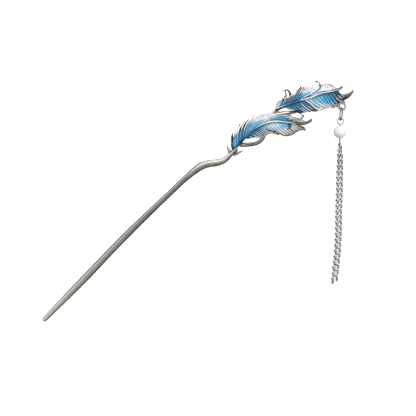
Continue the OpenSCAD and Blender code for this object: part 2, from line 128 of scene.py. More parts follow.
# Free strands: points x, y, z, then width at both ends and darkness on top
FREE_STRANDS = [
    # The first strand, fully dark, is a painted shadow: the dark slot under the upper feather's quill.
    ([[52.2, -6, 3.1], [53.6, -6.5, 3.2], [55.4, -7.1, 3.2]], 1.2, 1, 1),
    ([[74.5, -12.1, 2.3], [76.2, -13, 2.3], [77.7, -14, 2.3], [78.5, -15.1, 2.3],
      [78.7, -16.8, 2.3], [79, -18.5, 2.4], [79.2, -19.5, 2.5]], 0.45, 0.5, 0.5),
    ([[58.1, -11.2, 2.7], [59.1, -13.1, 3.1], [59.7, -14.4, 3.1], [60.9, -14.9, 3]], 1.5, 1, 0.75),
    ([[51.4, -7.1, 2.2], [53.7, -8.9, 2.3], [56.6, -11.1, 2.3]], 0.9, 0.9, 0),
    ([[73.8, -12.9, 3.1], [74.6, -12, 2.9], [75, -11, 2.6], [75, -9.9, 2.4]], 0.75, 0.6, 0.7),
]

# Curls: x, y, heading, length, bend in the first and the second half, width at root and tip, height,
# darkness on top
CURLS = [
    [60.2, -4.9, 46, 4.3, 15, 95, 0.9, 0.6, 2.2, 0.45],
    [61.9, -6, 48, 4.3, 30, 80, 1.35, 0.7, 2.2, 0.62],
    [77.4, -18, -30, 4.9, 10, 30, 1.5, 1.3, 2.6, 0.35],
    [75.9, -20.1, -60, 9.9, 32, 45, 4.2, 0.7, 2.2, 0.5],
    [51.7, -7.2, -37, 9.6, -4, 6, 1.7, 1.3, 1.7, 0.3],
    [54.2, -12.4, -46, 8.3, -14, 120, 1.5, 0.8, 1.6, 0.3],
    [53.6, -14.5, -53, 10.4, 8, 45, 1.9, 1.4, 1.8, 0.4],
    [52, -16.2, -50, 7.3, 5, -48, 1.5, 0.7, 1.3, 0.3],
    [47.4, -16, -60, 11.2, 54, -52, 1.4, 0.8, 1.9, 0.5],
    [30.7, -6, -48, 12.8, 16, 66, 2, 1.8, 1.3, 0.42],
    [38.3, -8.3, -42, 3.2, -5, -44, 1.1, 1, 1.3, 0.2],
    [40.2, -10.6, -4, 3.6, 0, -5, 1, 1, 1.3, 0.2],
    [25.4, -5.7, 122, 4.5, -42, -72, 1.4, 0.5, 1.5, 0.35],
    [24.4, -5.7, 95, 2.2, -12, -11, 1.2, 0.4, 1.4, 0.35],
    [25.2, -6.6, -43, 5.1, 27, -13, 1.6, 0.5, 1.4, 0.35],
    [26.2, -7.4, -78, 1.2, 0, 0, 0.9, 0.4, 1.3, 0.3],
    [27, -6.5, -2, 1.4, 0, 0, 1.2, 0.7, 1.8, 0.3]]
# Knobs, rounded ends and small lumps: x, y, heading, length, width, height
KNOBS = [[74.8, -9.6, 140, 0.3, 1.3, 2.5], [64.9, -6.9, 60, 0.8, 0.9, 2.1],
         [67.7, -6.9, 60, 0.9, 0.9, 2], [56.7, -4.2, 90, 0.6, 0.7, 2.1], [58.5, -4.5, 70, 0.6, 0.7, 2.1],
         [59.5, -4.9, 70, 0.6, 0.9, 2.1], [59.7, -16.6, 100, 0.6, 1, 1.6],
         [76.3, -23.7, -60, 1.1, 2, 2.3], [73.7, -23.4, -70, 1.2, 1.6, 2.3]]

# Casting
VANE_THICK = 1.2
RIB_DEEP = 1.3
RECESS = 0.45
POOL_WALL = 0.02
VANE_START = 0.03
NOTCH = 0.12
TOOTH_BACK = 0.35
CURL_ROOT = 0.7
ENGRAVED_DEEP = 0.12  # line along the top of a broad curl
ENGRAVED_WEAR = 0.7
BROAD_CURL = (1.1, 1.5)  # widths over which that line appears
LIT_WAY = np.array([0, 0.5, 0.866])  # way the painted lit sides look; sides turned away from it get painted shade
BARB_SWEEP = 12.0
BARB_BEND = 0.55  # how far out a barb's curve bends, as a share of its reach
VANE_DROP = 0.35  # from the rib's top down to the vane beside it
BARE = 0.2  # enamelled share up to which a barb has no recess
ENAMEL_TOP = -0.05
ENAMEL_GAP = 0.05
STRAND_GAPS = (0.3, 1.5)  # least and greatest gap that a strand's width follows
STRAND_VARY = (0.75, 1.15)  # random share of a strand's width and of its patina
CURL_HIGH = 1.5  # greatest height of a curl's section
KNOB_WEAR = 0.5
VANE_COLUMNS = 16  # columns of points to a barb
ENAMEL_COLUMNS = 48

# Lowest point of any piece
LOWEST = 0.02

# Drop
LOOP = (74.95, -25.6, 2.7)
LOOP_R = 1.5
LOOP_WIRE = 1.0
BEAD_D = 6.0
BEAD_BORE = 1.0
EYE = (69.81, -29.83, BEAD_D / 2)
PIN_HEADING = -136.5
PIN_WIRE = 0.6
EYE_WIRE = 0.74
EYE_R = 1.42
LOW_EYE_R = 1.2
BEAD_RUN = 4.85
LOW_EYE_RUN = BEAD_RUN + BEAD_D / 2 + LOW_EYE_R + PIN_WIRE / 2 + 0.05
RING_R = 2.8
RING_WIRE = 0.78
RING_TILT = 17.0
RING_Z = 2.9
RING_SHIFT = -0.1
DROP_HEADING = -134.5

# Chains: run along the drop and shift to its left
CHAIN_RUN = [[0, 0.1], [8, 0.43], [16, 0.25], [24, 0.08], [32, -0.13], [40, -0.3], [48, -0.67],
             [56, -1.5], [64, -2.3]]
LINKS = 25
LINK_PITCH = 2.54
RIGHT_SLACK = 0.06
LINK_LEN = 3.85
LINK_WIDTH = 1.72
LINK_WIRE = 0.46
LINK_BROAD = 0.84
LINK_TWIST = 0.335
STRAND_GAP = 1.78
STRAND_PART = [[0, 0], [3, 0.75], [8, 0.85], [16, 1]]
FALL_START = 0.8
STRAND_FALL = 11.0
FIRST_ROLL = -40.0
ROLL_LINKS = 4  # links over which that roll dies out
FIRST_STEP = 1.0
FIRST_RUN = 0.7
LINK_Z = LINK_TWIST + LINK_WIRE / 2

# Dark finish and painted shade from 0 for bright plate to 1 for full dark: least and most, or the most alone.
# The painted shade falls on sides turned from the light and on the links' inner sides and under-passes.
WIRE_PATINA_AND_SHADE = (0.42, 0.54)
EYE_PATINA_AND_SHADE = (0.3, 0.54)
PIN_PATINA_AND_SHADE = (0.3, 0.5)
LINK_SHADE = 0.72
LINK_FLANK_SHADE = 0.3
# Painted shade on the bead, warm: from where it starts to where it is full
BEAD_SHADE_SPAN = (0.1, 0.95)  # from the bead's middle towards -x, in radii
BEAD_RIM = 0.68  # painted shade at the bead's rim: its colour there as a share of its face's

# Camera over the middle of the picture, in millimetres of the frame, with the picture's width there
VIEW_MIDDLE = (1.9, 22.92, 2.0)
VIEW_WIDTH = 187.2
VIEW_TURN = -44.5
LENS = 100.0
SENSOR = 36.0
# Light over the stick: step from the picture's middle and size in metres, and power
KEY_STEP = (0.5, 0.15, 0.6)
KEY_SIZE = 0.6
KEY_POWER = 8.5
FLOOR_GLOW = 0.9
FLOOR_SIZE = 6  # metres
FLOOR_DROP = 0.02  # millimetres from the solids' lowest point down to the floor
# Sky from the stick's right 0 to its left 1, and its tones below, for even light and behind the stick
SKY = [(0.0, (0.48, 0.45, 0.38)), (0.065, (0.7, 0.66, 0.58)), (0.215, (0.95, 0.92, 0.86)),
       (0.4, (0.98, 0.97, 0.95)), (0.6, (1.18, 1.2, 1.22)), (0.7, (1.9, 1.95, 2.05)),
       (0.86, (1.9, 1.95, 2.05)), (0.95, (1.1, 1.13, 1.2)), (1.0, (0.9, 0.93, 1.0))]
SKY_BELOW, SKY_EVEN, SKY_BEHIND = (0.45, 0.44, 0.42), (0.55, 0.55, 0.55), (0.93, 0.93, 0.93)

# Looks by barb number: the share of a barb where its strand rises out of the enamel, the strand's width
# over the enamel and beyond it, how dark the grooves are (over 1 the strand's top too), the share of the
# enamel where it starts to fade to white, how far beyond the enamel blue runs on in the grooves, the
# enamel's tint from deep 0 to white 1, and how many strands on the tip is swept. The palest tints on the
# outer barbs are paler enamel and partly a painted glare.
LOWER_BACK_LOOK = [
    [0, 0.1, 0.6, 0.7, 0.5, 1.2, 0, 0, 0.2], [2.4, 0.3, 0.5, 0.7, 1.3, 1.2, 0, 0, 0.2],
    [4, 0.5, 0.3, 0.7, 1.7, 1.2, 0, 0.1, 0.3], [4.8, 0.55, 0.4, 0.7, 1.3, 1.2, 0, 0.55, 0.8],
    [6.8, 0.5, 0.4, 0.72, 1.1, 1.2, 0, 0.5, 1.2], [7.8, 0.5, 0.4, 0.7, 1.1, 1.2, 0, 0.03, 1],
    [9, 0.45, 0.35, 0.62, 1.1, 1.1, 0, 0, 0.6], [10, 0.5, 0.3, 0.7, 0.8, 0.8, 0.1, 0.42, 0.3],
    [11.5, 0.45, 0.3, 0.8, 0.5, 0.4, 0, 0.56, 0], [14, 0.4, 0.35, 0.8, 0.45, 0.25, 0, 0.62, 0],
    [15.2, 0.15, 0.5, 0.8, 0.3, 0.1, 0, 0.8, 0], [16, 0.4, 0.3, 0.7, 0.9, 0.7, 0.2, 0.52, 0],
    [17, 0.45, 0.3, 0.6, 1.1, 0.9, 0.3, 0.42, 0], [18, 0.4, 0.5, 0.6, 1.3, 1, 0.3, 0.25, 0],
    [20, 0, 0.6, 0.6, 1.55, 1.2, 0, 0, 0]]
LOWER_FRONT_LOOK = [
    [0, 0.2, 0.4, 0.6, 1.1, 1.2, 0, 0, 0], [2, 0.35, 0.28, 0.45, 1.15, 1.2, 0.1, 0.15, 0],
    [5, 0.25, 0.3, 0.45, 1.1, 1.2, 0.2, 0.3, 0], [6.3, 0.15, 0.4, 0.65, 1, 1, 0, 0.6, 0],
    [8.5, 0.2, 0.45, 0.7, 0.8, 0.7, 0, 0.86, 0], [9.3, 0.35, 0.4, 0.65, 0.8, 0.8, 0.1, 0.76, 0],
    [10, 0.45, 0.35, 0.6, 0.8, 0.75, 0.1, 0.68, 0], [11, 0.5, 0.35, 0.6, 1, 0.8, 0.1, 0.52, 0],
    [12, 0.1, 0.5, 0.6, 1.5, 1.2, 0, 0, 0], [13, 0.05, 0.6, 0.6, 1.6, 1.2, 0, 0, 0]]
UPPER_BACK_LOOK = [
    [0, 0.2, 0.5, 0.7, 0.4, 1, 0, 0.95, 0], [2.4, 0.6, 0.4, 0.7, 0.6, 1.2, 0, 0.9, 0],
    [3.2, 0.6, 0.4, 0.6, 1.1, 1.2, 0, 0.4, 0], [5, 0.55, 0.5, 0.65, 1.3, 1, 0, 0.08, 0],
    [6.3, 0.42, 0.5, 0.5, 1.35, 1, 0, 0, 0.3], [7.5, 0.42, 0.5, 0.5, 1.35, 0.8, 0, 0, 0.3],
    [8.2, 0.5, 0.5, 0.6, 1.1, 0.6, 0.1, 0.1, 0],
    [9, 0.45, 0.4, 0.75, 0.5, 0.4, 0.2, 0.55, 0], [10, 0.4, 0.4, 0.85, 0.3, 0.3, 0, 0.65, 0],
    [11, 0.35, 0.35, 0.9, 0.2, 0.2, 0, 0.8, 0], [12, 0.6, 0.3, 0.9, 0.15, 0.2, 0, 0.95, 0],
    [14, 0.6, 0.4, 0.9, 0.15, 0.3, 0, 1, 0], [15, 0.1, 0.5, 0.7, 1.2, 1, 0, 1, 0]]
UPPER_FRONT_LOOK = [
    [0, 0.2, 0.5, 0.6, 1.7, 1.2, 0, 0, 0], [3, 0.6, 0.3, 0.5, 1.5, 1.2, 0.3, 0, 0],
    [5, 0.35, 0.28, 0.42, 1.2, 1.2, 0.2, 0.08, 0], [6.4, 0.2, 0.32, 0.42, 1.1, 1.2, 0.2, 0.2, 0],
    [7.2, 0.4, 0.3, 0.42, 1.1, 1.2, 0.2, 0.25, 0], [7.8, 0.35, 0.42, 0.85, 0.5, 0.9, 0, 0.72, 0],
    [9.1, 0.4, 0.4, 0.75, 0.5, 0.8, 0.1, 0.66, 0], [9.8, 0.5, 0.3, 0.5, 1, 1, 0.1, 0.6, 0],
    [11, 0.5, 0.35, 0.45, 1.1, 1.2, 0.1, 0.45, 0], [12, 0.5, 0.35, 0.5, 1.2, 1.2, 0.2, 0.12, 0],
    [12.4, 0.4, 0.3, 0.4, 1.12, 1.2, 0.5, 0, 0], [13, 0.2, 0.3, 0.4, 1.12, 1.2, 0.3, 0, 0]]

# Vane: strands are spans of barbs as first, last and how many strands share them
Vane = namedtuple("Vane", "spine heights barbs side rib look strands seed")
# Ribs: share of their length, width
SIDE_RIB_WIDE = [[0, 0.4], [0.4, 0.75], [0.8, 0.65], [1, 0.5]]
LOWER_RIB_WIDE = [[0, 1], [0.15, 0.45], [0.4, 0.3], [0.5, 0.55], [0.65, 0.85], [0.8, 0.7], [1, 0.5]]
UPPER_RIB_WIDE = [[0, 0.3], [0.06, 1], [0.17, 0.45], [0.38, 0.35], [0.48, 0.7], [0.6, 0.8],
                  [0.8, 0.6], [1, 0.5]]
# Ribs: share of the spine, how dark, how blue
LOWER_RIB_TONE = [[0, 0.3, 0], [0.1, 0.75, 0], [0.3, 0.85, 0.1], [0.42, 0.65, 0.6], [0.52, 0, 0],
                  [0.8, 0, 0], [0.95, 0.4, 0], [1, 0.6, 0]]
UPPER_RIB_TONE = [[0, 0.2, 0.2], [0.12, 0.5, 1], [0.2, 0.76, 1], [0.4, 0.76, 1], [0.46, 0, 0.2],
                  [0.85, 0, 0], [1, 0.6, 0]]
LOWER_BACK_VANE = Vane(LOWER_RIB, LOWER_HEIGHT, LOWER_BACK, 1, LOWER_RIB_WIDE, LOWER_BACK_LOOK,
                       [[0, 4, 4], [4, 10, 6], [10, 16, 12], [16, 20, 12]], 3)
LOWER_FRONT_VANE = Vane(LOWER_RIB, LOWER_HEIGHT, LOWER_FRONT, -1, LOWER_RIB_WIDE, LOWER_FRONT_LOOK,
                        [[0, 2, 2], [2, 10, 12], [10, 11, 2], [11, 13, 6]], 5)
UPPER_BACK_VANE = Vane(UPPER_RIB, UPPER_HEIGHT, UPPER_BACK, 1, UPPER_RIB_WIDE, UPPER_BACK_LOOK,
                       [[0, 4, 4], [4, 8, 7], [8, 13, 10], [13, 15, 4]], 7)
UPPER_FRONT_VANE = Vane(UPPER_RIB, UPPER_HEIGHT, UPPER_FRONT, -1, UPPER_RIB_WIDE, UPPER_FRONT_LOOK,
                        [[0, 3, 3], [3, 11, 12], [11, 12, 2], [12, 13, 3]], 9)

# Strands laid across the barbs: vane, points as barb number and share, width at both ends, darkness, blue
LAID_STRANDS = [
    (UPPER_FRONT_VANE, [[7.6, 0.06], [7.78, 0.3], [7.65, 0.53], [7.55, 0.73], [7.7, 0.86], [8.35, 0.84]],
     0.7, 0.65, 0, 0),
    (UPPER_FRONT_VANE, [[7.1, 0.15], [7.2, 0.39], [7.12, 0.61], [7, 0.8], [7.28, 0.93]], 0.4, 0.5, 0.75, 0.3),
    (UPPER_FRONT_VANE, [[7.9, 0.53], [7.98, 0.65], [8.43, 0.67]], 0.5, 0.65, 0.7, 0),
    (LOWER_BACK_VANE, [[14.1, 0.06], [14.62, 0.21], [14.83, 0.36], [14.75, 0.56]], 0.35, 0.6, 0, 0),
    (LOWER_BACK_VANE, [[15.28, 0.24], [15.25, 0.34], [15.2, 0.45]], 0.35, 0.5, 0.7, 0.6),
    (LOWER_FRONT_VANE, [[6.3, 0.3], [6.6, 0.48], [7.4, 0.6], [7.7, 0.75], [8.43, 0.8]], 0.4, 0.55, 0.85, 0),
    (LOWER_FRONT_VANE, [[6.9, 0.62], [7.2, 0.8], [7.9, 0.9], [8.5, 0.95]], 0.5, 0.45, 0.85, 0),
    (UPPER_BACK_VANE, [[9, 0.1], [9.73, 0.1], [10.38, 0.12], [10.88, 0.15]], 0.35, 0.35, 0.9, 0.3),
    (UPPER_BACK_VANE, [[12, 0.12], [13, 0.16], [14, 0.24], [15, 0.4]], 0.25, 0.4, 0.7, 0.7),
    (UPPER_BACK_VANE, [[10.3, 0.18], [10.93, 0.24], [11.65, 0.33], [11.95, 0.46], [11.75, 0.69]],
     0.4, 0.45, 1, 1),
]


def place(points):
    """Millimetres from the shaft's end to the frame's metres: the end's own place added, times 0.001."""
    return (np.asarray(points, float) + SHAFT_END) * MM


def curve(rows, share):
    """Catmull-Rom curve through a table's rows: between two rows a cubic whose slope at each row is
    half the difference of the rows on its two sides. share runs from 0 to 1 over equal steps."""
    rows = np.asarray(rows, float)
    last = len(rows) - 1
    x = np.clip(np.asarray(share, float), 0, 1) * last
    i = np.minimum(x.astype(int), last - 1)
    f = (x - i)[..., None]
    p0, p1 = rows[np.maximum(i - 1, 0)], rows[i]
    p2, p3 = rows[i + 1], rows[np.minimum(i + 2, last)]
    return (2 * p1 + (p2 - p0) * f + (2 * p0 - 5 * p1 + 4 * p2 - p3) * f ** 2
            + (3 * p1 - p0 - 3 * p2 + p3) * f ** 3) / 2


def ray(angle):
    """Unit steps on the floor at angles in radians."""
    return np.stack([np.cos(angle), np.sin(angle)], -1)


def heading(rows, share):
    """Direction of a curve in radians: the angle of the step from a little before to a little after."""
    step = curve(rows, np.asarray(share) + 0.01) - curve(rows, np.asarray(share) - 0.01)
    return np.arctan2(step[..., 1], step[..., 0])


def table_at(rows, number):
    """A table's columns at a real row number, on the straight line between the rows on each side."""
    rows = np.asarray(rows, float)
    number = np.asarray(number, float)
    return [np.interp(number, np.arange(len(rows)), column) for column in rows.T]


def smooth(low, high, x):
    """0 below low, 1 above high and an S between them: 3 t squared less 2 t cubed."""
    t = np.clip((np.asarray(x, float) - low) / (high - low), 0, 1)
    return t * t * (3 - 2 * t)


def vane_point(vane, barb, share, lift=0.0):
    """Point of a vane: a barb leaves the rib at its root and bends to its tip as a quadratic curve,
    and its height falls from the rib's top to the vane's edge as 1 less the share to the power 1.6."""
    barb, share, lift = np.broadcast_arrays(np.asarray(barb, float), share, lift)
    root_share, reach, lean, fill = table_at(vane.barbs, barb)
    along = root_share / 100
    root = curve(vane.spine, along)
    head = heading(vane.spine, along)
    tip = root + reach[..., None] * ray(head + vane.side * np.radians(lean))
    bend = root + BARB_BEND * reach[..., None] * ray(head + vane.side * np.radians(lean + BARB_SWEEP))
    v = share[..., None]
    flat = (1 - v) ** 2 * root + 2 * v * (1 - v) * bend + v ** 2 * tip
    heights = curve(vane.heights, along)
    edge = heights[..., 1 if vane.side > 0 else 2]
    top = heights[..., 0] - VANE_DROP
    rise = (top - edge) * (1 - np.maximum(share, 0) ** 1.6)
    return np.concatenate([flat, (edge + rise + lift)[..., None]], -1)


def notch(barb):
    """Share of a barb lost between two tips: it grows to the notch and shrinks again to the next tip."""
    f = barb - np.floor(barb)
    return NOTCH * np.where(f < TOOTH_BACK, f / TOOTH_BACK, (1 - f) / (1 - TOOTH_BACK))


def strand_rows(vane):
    """Barb numbers of a vane's strands: equal steps in each span, and the last barb."""
    spans = [np.linspace(first, last, count, endpoint=False) for first, last, count in vane.strands]
    return np.concatenate([*spans, [len(vane.barbs) - 1]])


def ridge(vane, barb, lines=1):
    """1 along the middle of each strand and 0 in the groove between two, as a raised cosine, with so
    many lines a strand."""
    rows = strand_rows(vane)
    return 0.5 + 0.5 * np.cos(2 * np.pi * lines * np.interp(barb, rows, np.arange(len(rows))))


def look(vane, barb):
    """Start, two widths, darkness, fade, wash, tint and sweep of a vane's look at a barb number."""
    table = np.array(vane.look, float)
    return [np.interp(barb, table[:, 0], column) for column in table.T[1:]]


def wash_at(vane, barb, share):
    """How blue a groove is: 1 at the enamel's rim, falling to 0 where the wash ends."""
    reach = np.maximum(look(vane, barb)[5], 0.001)
    past = share - table_at(vane.barbs, barb)[3]
    return np.clip(1 - past / reach, 0, 1) * (reach > 0.01) * (1 - smooth(0.75, 0.95, share))


Mesh = namedtuple("Mesh", "points faces wear tint wash")


def skins(rings, wear=0.0, tint=0.0, wash=0.0):
    """Closed skins through rings of points, rings[skin, ring, point, xyz]. Each wall face joins two
    neighbouring points of a ring to those of the next ring, and a fan from the middle of the first
    and the last ring closes the ends. A darkness (antique finish and painted shading), a tint and a
    wash are values kept at each point."""
    rings = np.asarray(rings, float)
    if rings.ndim == 3:
        rings = rings[None]
    count, m, n, _ = rings.shape
    number = np.arange(count * m * n).reshape(count, m, n)
    a = number[:, :-1]
    b = np.roll(a, -1, axis=2)
    d = number[:, 1:]
    c = np.roll(d, -1, axis=2)
    walls = np.stack([a, b, c, d], -1).reshape(-1, 4)
    ends = count * m * n + np.arange(2 * count).reshape(2, count)
    first, last = number[:, 0], number[:, -1]
    fan_first = np.stack([np.roll(first, -1, 1), first, np.broadcast_to(ends[0][:, None], first.shape)], -1)
    fan_last = np.stack([last, np.roll(last, -1, 1), np.broadcast_to(ends[1][:, None], last.shape)], -1)
    fans = np.concatenate([fan_first.reshape(-1, 3), fan_last.reshape(-1, 3)])
    points = np.concatenate([rings.reshape(-1, 3), rings[:, 0].mean(1), rings[:, -1].mean(1)])

    def spread(value):
        full = np.broadcast_to(value, (count, m, n))
        return np.concatenate([full.ravel(), full[:, 0].mean(1), full[:, -1].mean(1)])

    return Mesh(points, (walls, fans), spread(wear), spread(tint), spread(wash))


def loops(rings, wear=0.0):
    """Closed rounds such as wire rings and links, rings[round, section, point, xyz]: as skins, but
    the last section joins the first and there are no ends."""
    rings = np.asarray(rings, float)
    if rings.ndim == 3:
        rings = rings[None]
    count, m, n, _ = rings.shape
    a = np.arange(count * m * n).reshape(count, m, n)
    b, d = np.roll(a, -1, axis=2), np.roll(a, -1, axis=1)
    c = np.roll(b, -1, axis=1)
    walls = np.stack([a, d, c, b], -1).reshape(-1, 4)
    zero = np.zeros(a.size)
    return Mesh(rings.reshape(-1, 3), (walls, np.zeros((0, 3), int)),
                np.broadcast_to(wear, a.shape).ravel(), zero, zero)


def piece(name, meshes, material, nodes, sharp=40.0):
    """One object from several meshes, set in the frame, with its values as attributes. A point that
    would reach into the floor is lifted onto it."""
    start, points, faces = 0, [], []
    for mesh in meshes:
        points.append(mesh.points)
        faces += [f for kind in mesh.faces for f in (kind + start).tolist()]
        start += len(mesh.points)
    data = bpy.data.meshes.new(name)
    points = np.concatenate(points)
    points[:, 2] = np.maximum(points[:, 2], LOWEST)
    data.from_pydata(place(points), [], faces)
    for field in ("wear", "tint", "wash"):
        values = np.concatenate([getattr(mesh, field) for mesh in meshes])
        data.attributes.new(field, "FLOAT", "POINT").data.foreach_set("value", values.astype(np.float32))
    data.shade_smooth()
    data.set_sharp_from_angle(angle=math.radians(sharp))
    data.validate()
    made = bpy.data.objects.new(name, data)
    bpy.context.scene.collection.objects.link(made)
    data.materials.append(material)
    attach(made, BODY)
    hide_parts(*nodes)


def sections(path, width, height, sides, power=1.0):
    """Rings across a path on the floor plane. Each is an oval as wide as width and as high as height,
    whose sine is raised to a power below 1 for a flatter top. path[..., ring, xyz]."""
    step = np.gradient(path, axis=-2)
    across = np.stack([-step[..., 1], step[..., 0], 0 * step[..., 0]], -1)
    across /= np.linalg.norm(across, axis=-1, keepdims=True) + 1e-12
    turn = 2 * np.pi * (np.arange(sides) + 0.5) / sides
    side = np.cos(turn)
    up = np.sign(np.sin(turn)) * np.abs(np.sin(turn)) ** power
    half_w = np.asarray(width)[..., None, None] / 2
    half_h = np.asarray(height)[..., None, None] / 2
    return (path[..., None, :] + across[..., None, :] * side[:, None] * half_w
            + np.array([0, 0, 1.0]) * up[:, None] * half_h)


def fill_in(tree, node, sockets):
    """Sets a node's sockets to values, or links them to other sockets."""
    for key, value in sockets.items():
        if isinstance(value, bpy.types.NodeSocket):
            tree.links.new(value, node.inputs[key])
        else:
            node.inputs[key].default_value = value


def add(tree, kind, sockets=None, **settings):
    """New shader node with its settings and its sockets."""
    made = tree.nodes.new("ShaderNode" + kind)
    for key, value in settings.items():
        setattr(made, key, value)
    fill_in(tree, made, sockets or {})
    return made


def ramp(tree, factor, stops):
    """Colour ramp with stops of position and colour, or position and grey level."""
    made = add(tree, "ValToRGB", {"Fac": factor})
    elements = made.color_ramp.elements
    while len(elements) < len(stops):
        elements.new(0.5)
    for element, (position, colour) in zip(elements, stops):
        element.position = position
        element.color = (*colour, 1) if np.ndim(colour) else (colour, colour, colour, 1)
    return made.outputs["Color"]


def mix(tree, factor, first, second):
    """Mix of two colours by a factor."""
    first, second = (end if isinstance(end, bpy.types.NodeSocket) else (*end, 1) for end in (first, second))
    return add(tree, "Mix", {0: factor, 6: first, 7: second}, data_type="RGBA").outputs[2]


def dimmed(colour, share):
    """A colour at a share of its light."""
    return tuple(share * c for c in colour)


def maths(tree, operation, first, second=0.0, clamp=False):
    """One step of arithmetic on two values or sockets."""
    return add(tree, "Math", {0: first, 1: second}, operation=operation, use_clamp=clamp).outputs[0]


def kept(tree, name):
    """Value kept at the mesh's points under a name."""
    return add(tree, "Attribute", attribute_name=name).outputs["Fac"]


def grain(tree, scale, stretch=(1, 1, 1), detail=4.0):
    """Noise in the piece's own space, of scale cells to a metre, drawn out by a stretch."""
    place_in = add(tree, "TexCoord").outputs["Object"]
    drawn = add(tree, "Mapping", {"Vector": place_in, "Scale": stretch})
    noise = add(tree, "TexNoise", {"Vector": drawn.outputs[0], "Scale": scale, "Detail": detail})
    return noise.outputs["Fac"]


def new_material(name):
    """Empty material with one shader, and its tree and shader."""
    material = bpy.data.materials.new(name)
    material.use_nodes = True
    tree = material.node_tree
    tree.nodes.clear()
    shader = add(tree, "BsdfPrincipled")
    add(tree, "OutputMaterial", {"Surface": shader.outputs[0]})
    return material, tree, shader


def linear(colour):
    """Screen colour from 0 to 255 as linear light."""
    c = np.asarray(colour, float) / 255
    return tuple(float(x) for x in np.where(c <= 0.04045, c / 12.92, ((c + 0.055) / 1.055) ** 2.4))


# Blues of the enamel as screen colours, by tint from deep to white, and the blue in its grooves
GLAZE = [(0.0, (2, 70, 98)), (0.25, (12, 100, 138)), (0.5, (36, 132, 172)), (0.65, (104, 164, 190)),
         (0.8, (176, 198, 207)), (1.0, (212, 218, 221))]
GROOVE = (2, 40, 66)
# Light on the enamel's ridges: thin enamel over the silver, partly a painted glint
CREST = (140, 200, 222)

# Cells to a metre of the enamel's drift and of the silver's clouds and fine grain
DRIFT, CLOUDS, GRAIN = 700, 350, 1500
# Roughness of bright silver, and of the shaft's
SILVER_ROUGH, SHAFT_ROUGH = 0.22, 0.1


def glaze(tree):
    """Colour of the enamel at the mesh's tint, drifting a little with fine noise."""
    drift = maths(tree, "MULTIPLY", maths(tree, "SUBTRACT", grain(tree, DRIFT), 0.5), 0.45)
    tint = maths(tree, "ADD", kept(tree, "tint"), drift)
    return ramp(tree, tint, [(at, linear(colour)) for at, colour in GLAZE])


def antique_silver(name, bright, dull, patina_and_shade, stretch=(1, 1, 1), by_tint=False):
    """Silver plate that turns to its dark antique finish and painted shade where the kept darkness is high,
    with fine grain drawn out by a stretch. Its tone is cloudy between dull and bright, or follows the mesh's
    tint."""
    material, tree, shader = new_material(name)
    cloud = grain(tree, CLOUDS, detail=5)
    fine = grain(tree, GRAIN, stretch)
    satin = SHAFT_ROUGH if by_tint else SILVER_ROUGH
    spread = maths(tree, "MULTIPLY", maths(tree, "SUBTRACT", cloud, 0.5), 0.5)
    dark = ramp(tree, maths(tree, "ADD", kept(tree, "wear"), spread), [(0.25, 0.0), (0.8, 1.0)])
    if by_tint:
        cloud = maths(tree, "ADD", kept(tree, "tint"), maths(tree, "MULTIPLY", spread, 0.6), clamp=True)
    tone = mix(tree, cloud, dull, bright)
    wash = kept(tree, "wash")
    low = mix(tree, wash, patina_and_shade, mix(tree, 0.3, glaze(tree), linear(GROOVE)))
    glazed = maths(tree, "MULTIPLY", wash, dark)
    rough = maths(tree, "ADD", maths(tree, "MULTIPLY", dark, 0.25), maths(tree, "MULTIPLY", fine, 0.1))
    bump = add(tree, "Bump", {"Height": fine, "Strength": 0.25, "Distance": 0.04 * MM})
    fill_in(tree, shader, {"Base Color": mix(tree, dark, tone, low),
                           "Metallic": maths(tree, "SUBTRACT", 1.0, glazed),
                           "Roughness": maths(tree, "ADD", rough, satin), "Normal": bump.outputs[0]})
    return material


class Looks(bpy.types.PropertyGroup):
    """Colours of the finishes."""
    silver: FloatVectorProperty(
        name="Silver", description="Bright silver plate", subtype="COLOR", default=(0.97, 0.97, 0.965))
    silver_dull: FloatVectorProperty(
        name="Dull silver", description="Silver plate where it is lightly aged", subtype="COLOR",
        default=(0.72, 0.7, 0.68))
    shaft: FloatVectorProperty(
        name="Shaft", description="Darker silver plate of the shaft and the neck", subtype="COLOR",
        default=(0.27, 0.262, 0.25))
    neck: FloatVectorProperty(
        name="Neck", description="Brighter silver plate of the neck and the shaft's end", subtype="COLOR",
        default=(0.5, 0.478, 0.435))
    # Dark antique finish in the low places, also the colour of all the painted shade
    patina_and_shade: FloatVectorProperty(
        name="Patina", description="Dark antique finish in the low places", subtype="COLOR",
        default=(0.028, 0.024, 0.02))
    bead: FloatVectorProperty(
        name="Bead", description="Milky white of the bead", subtype="COLOR", default=(0.63, 0.625, 0.64))
    # Painted shade: the warm darker colour on the bead's -x side
    bead_shade: FloatVectorProperty(
        name="Bead cloud", description="Warm cloud on one side of the bead", subtype="COLOR",
        default=(0.55, 0.525, 0.49))


class Relief(bpy.types.PropertyGroup):
    """Sizes of the fine relief."""
    enamel_ridge: FloatProperty(
        name="Enamel ridge", description="Rise of the enamel over each fine barb", default=0.09 * MM,
        min=0.0, max=0.15 * MM, unit="LENGTH")


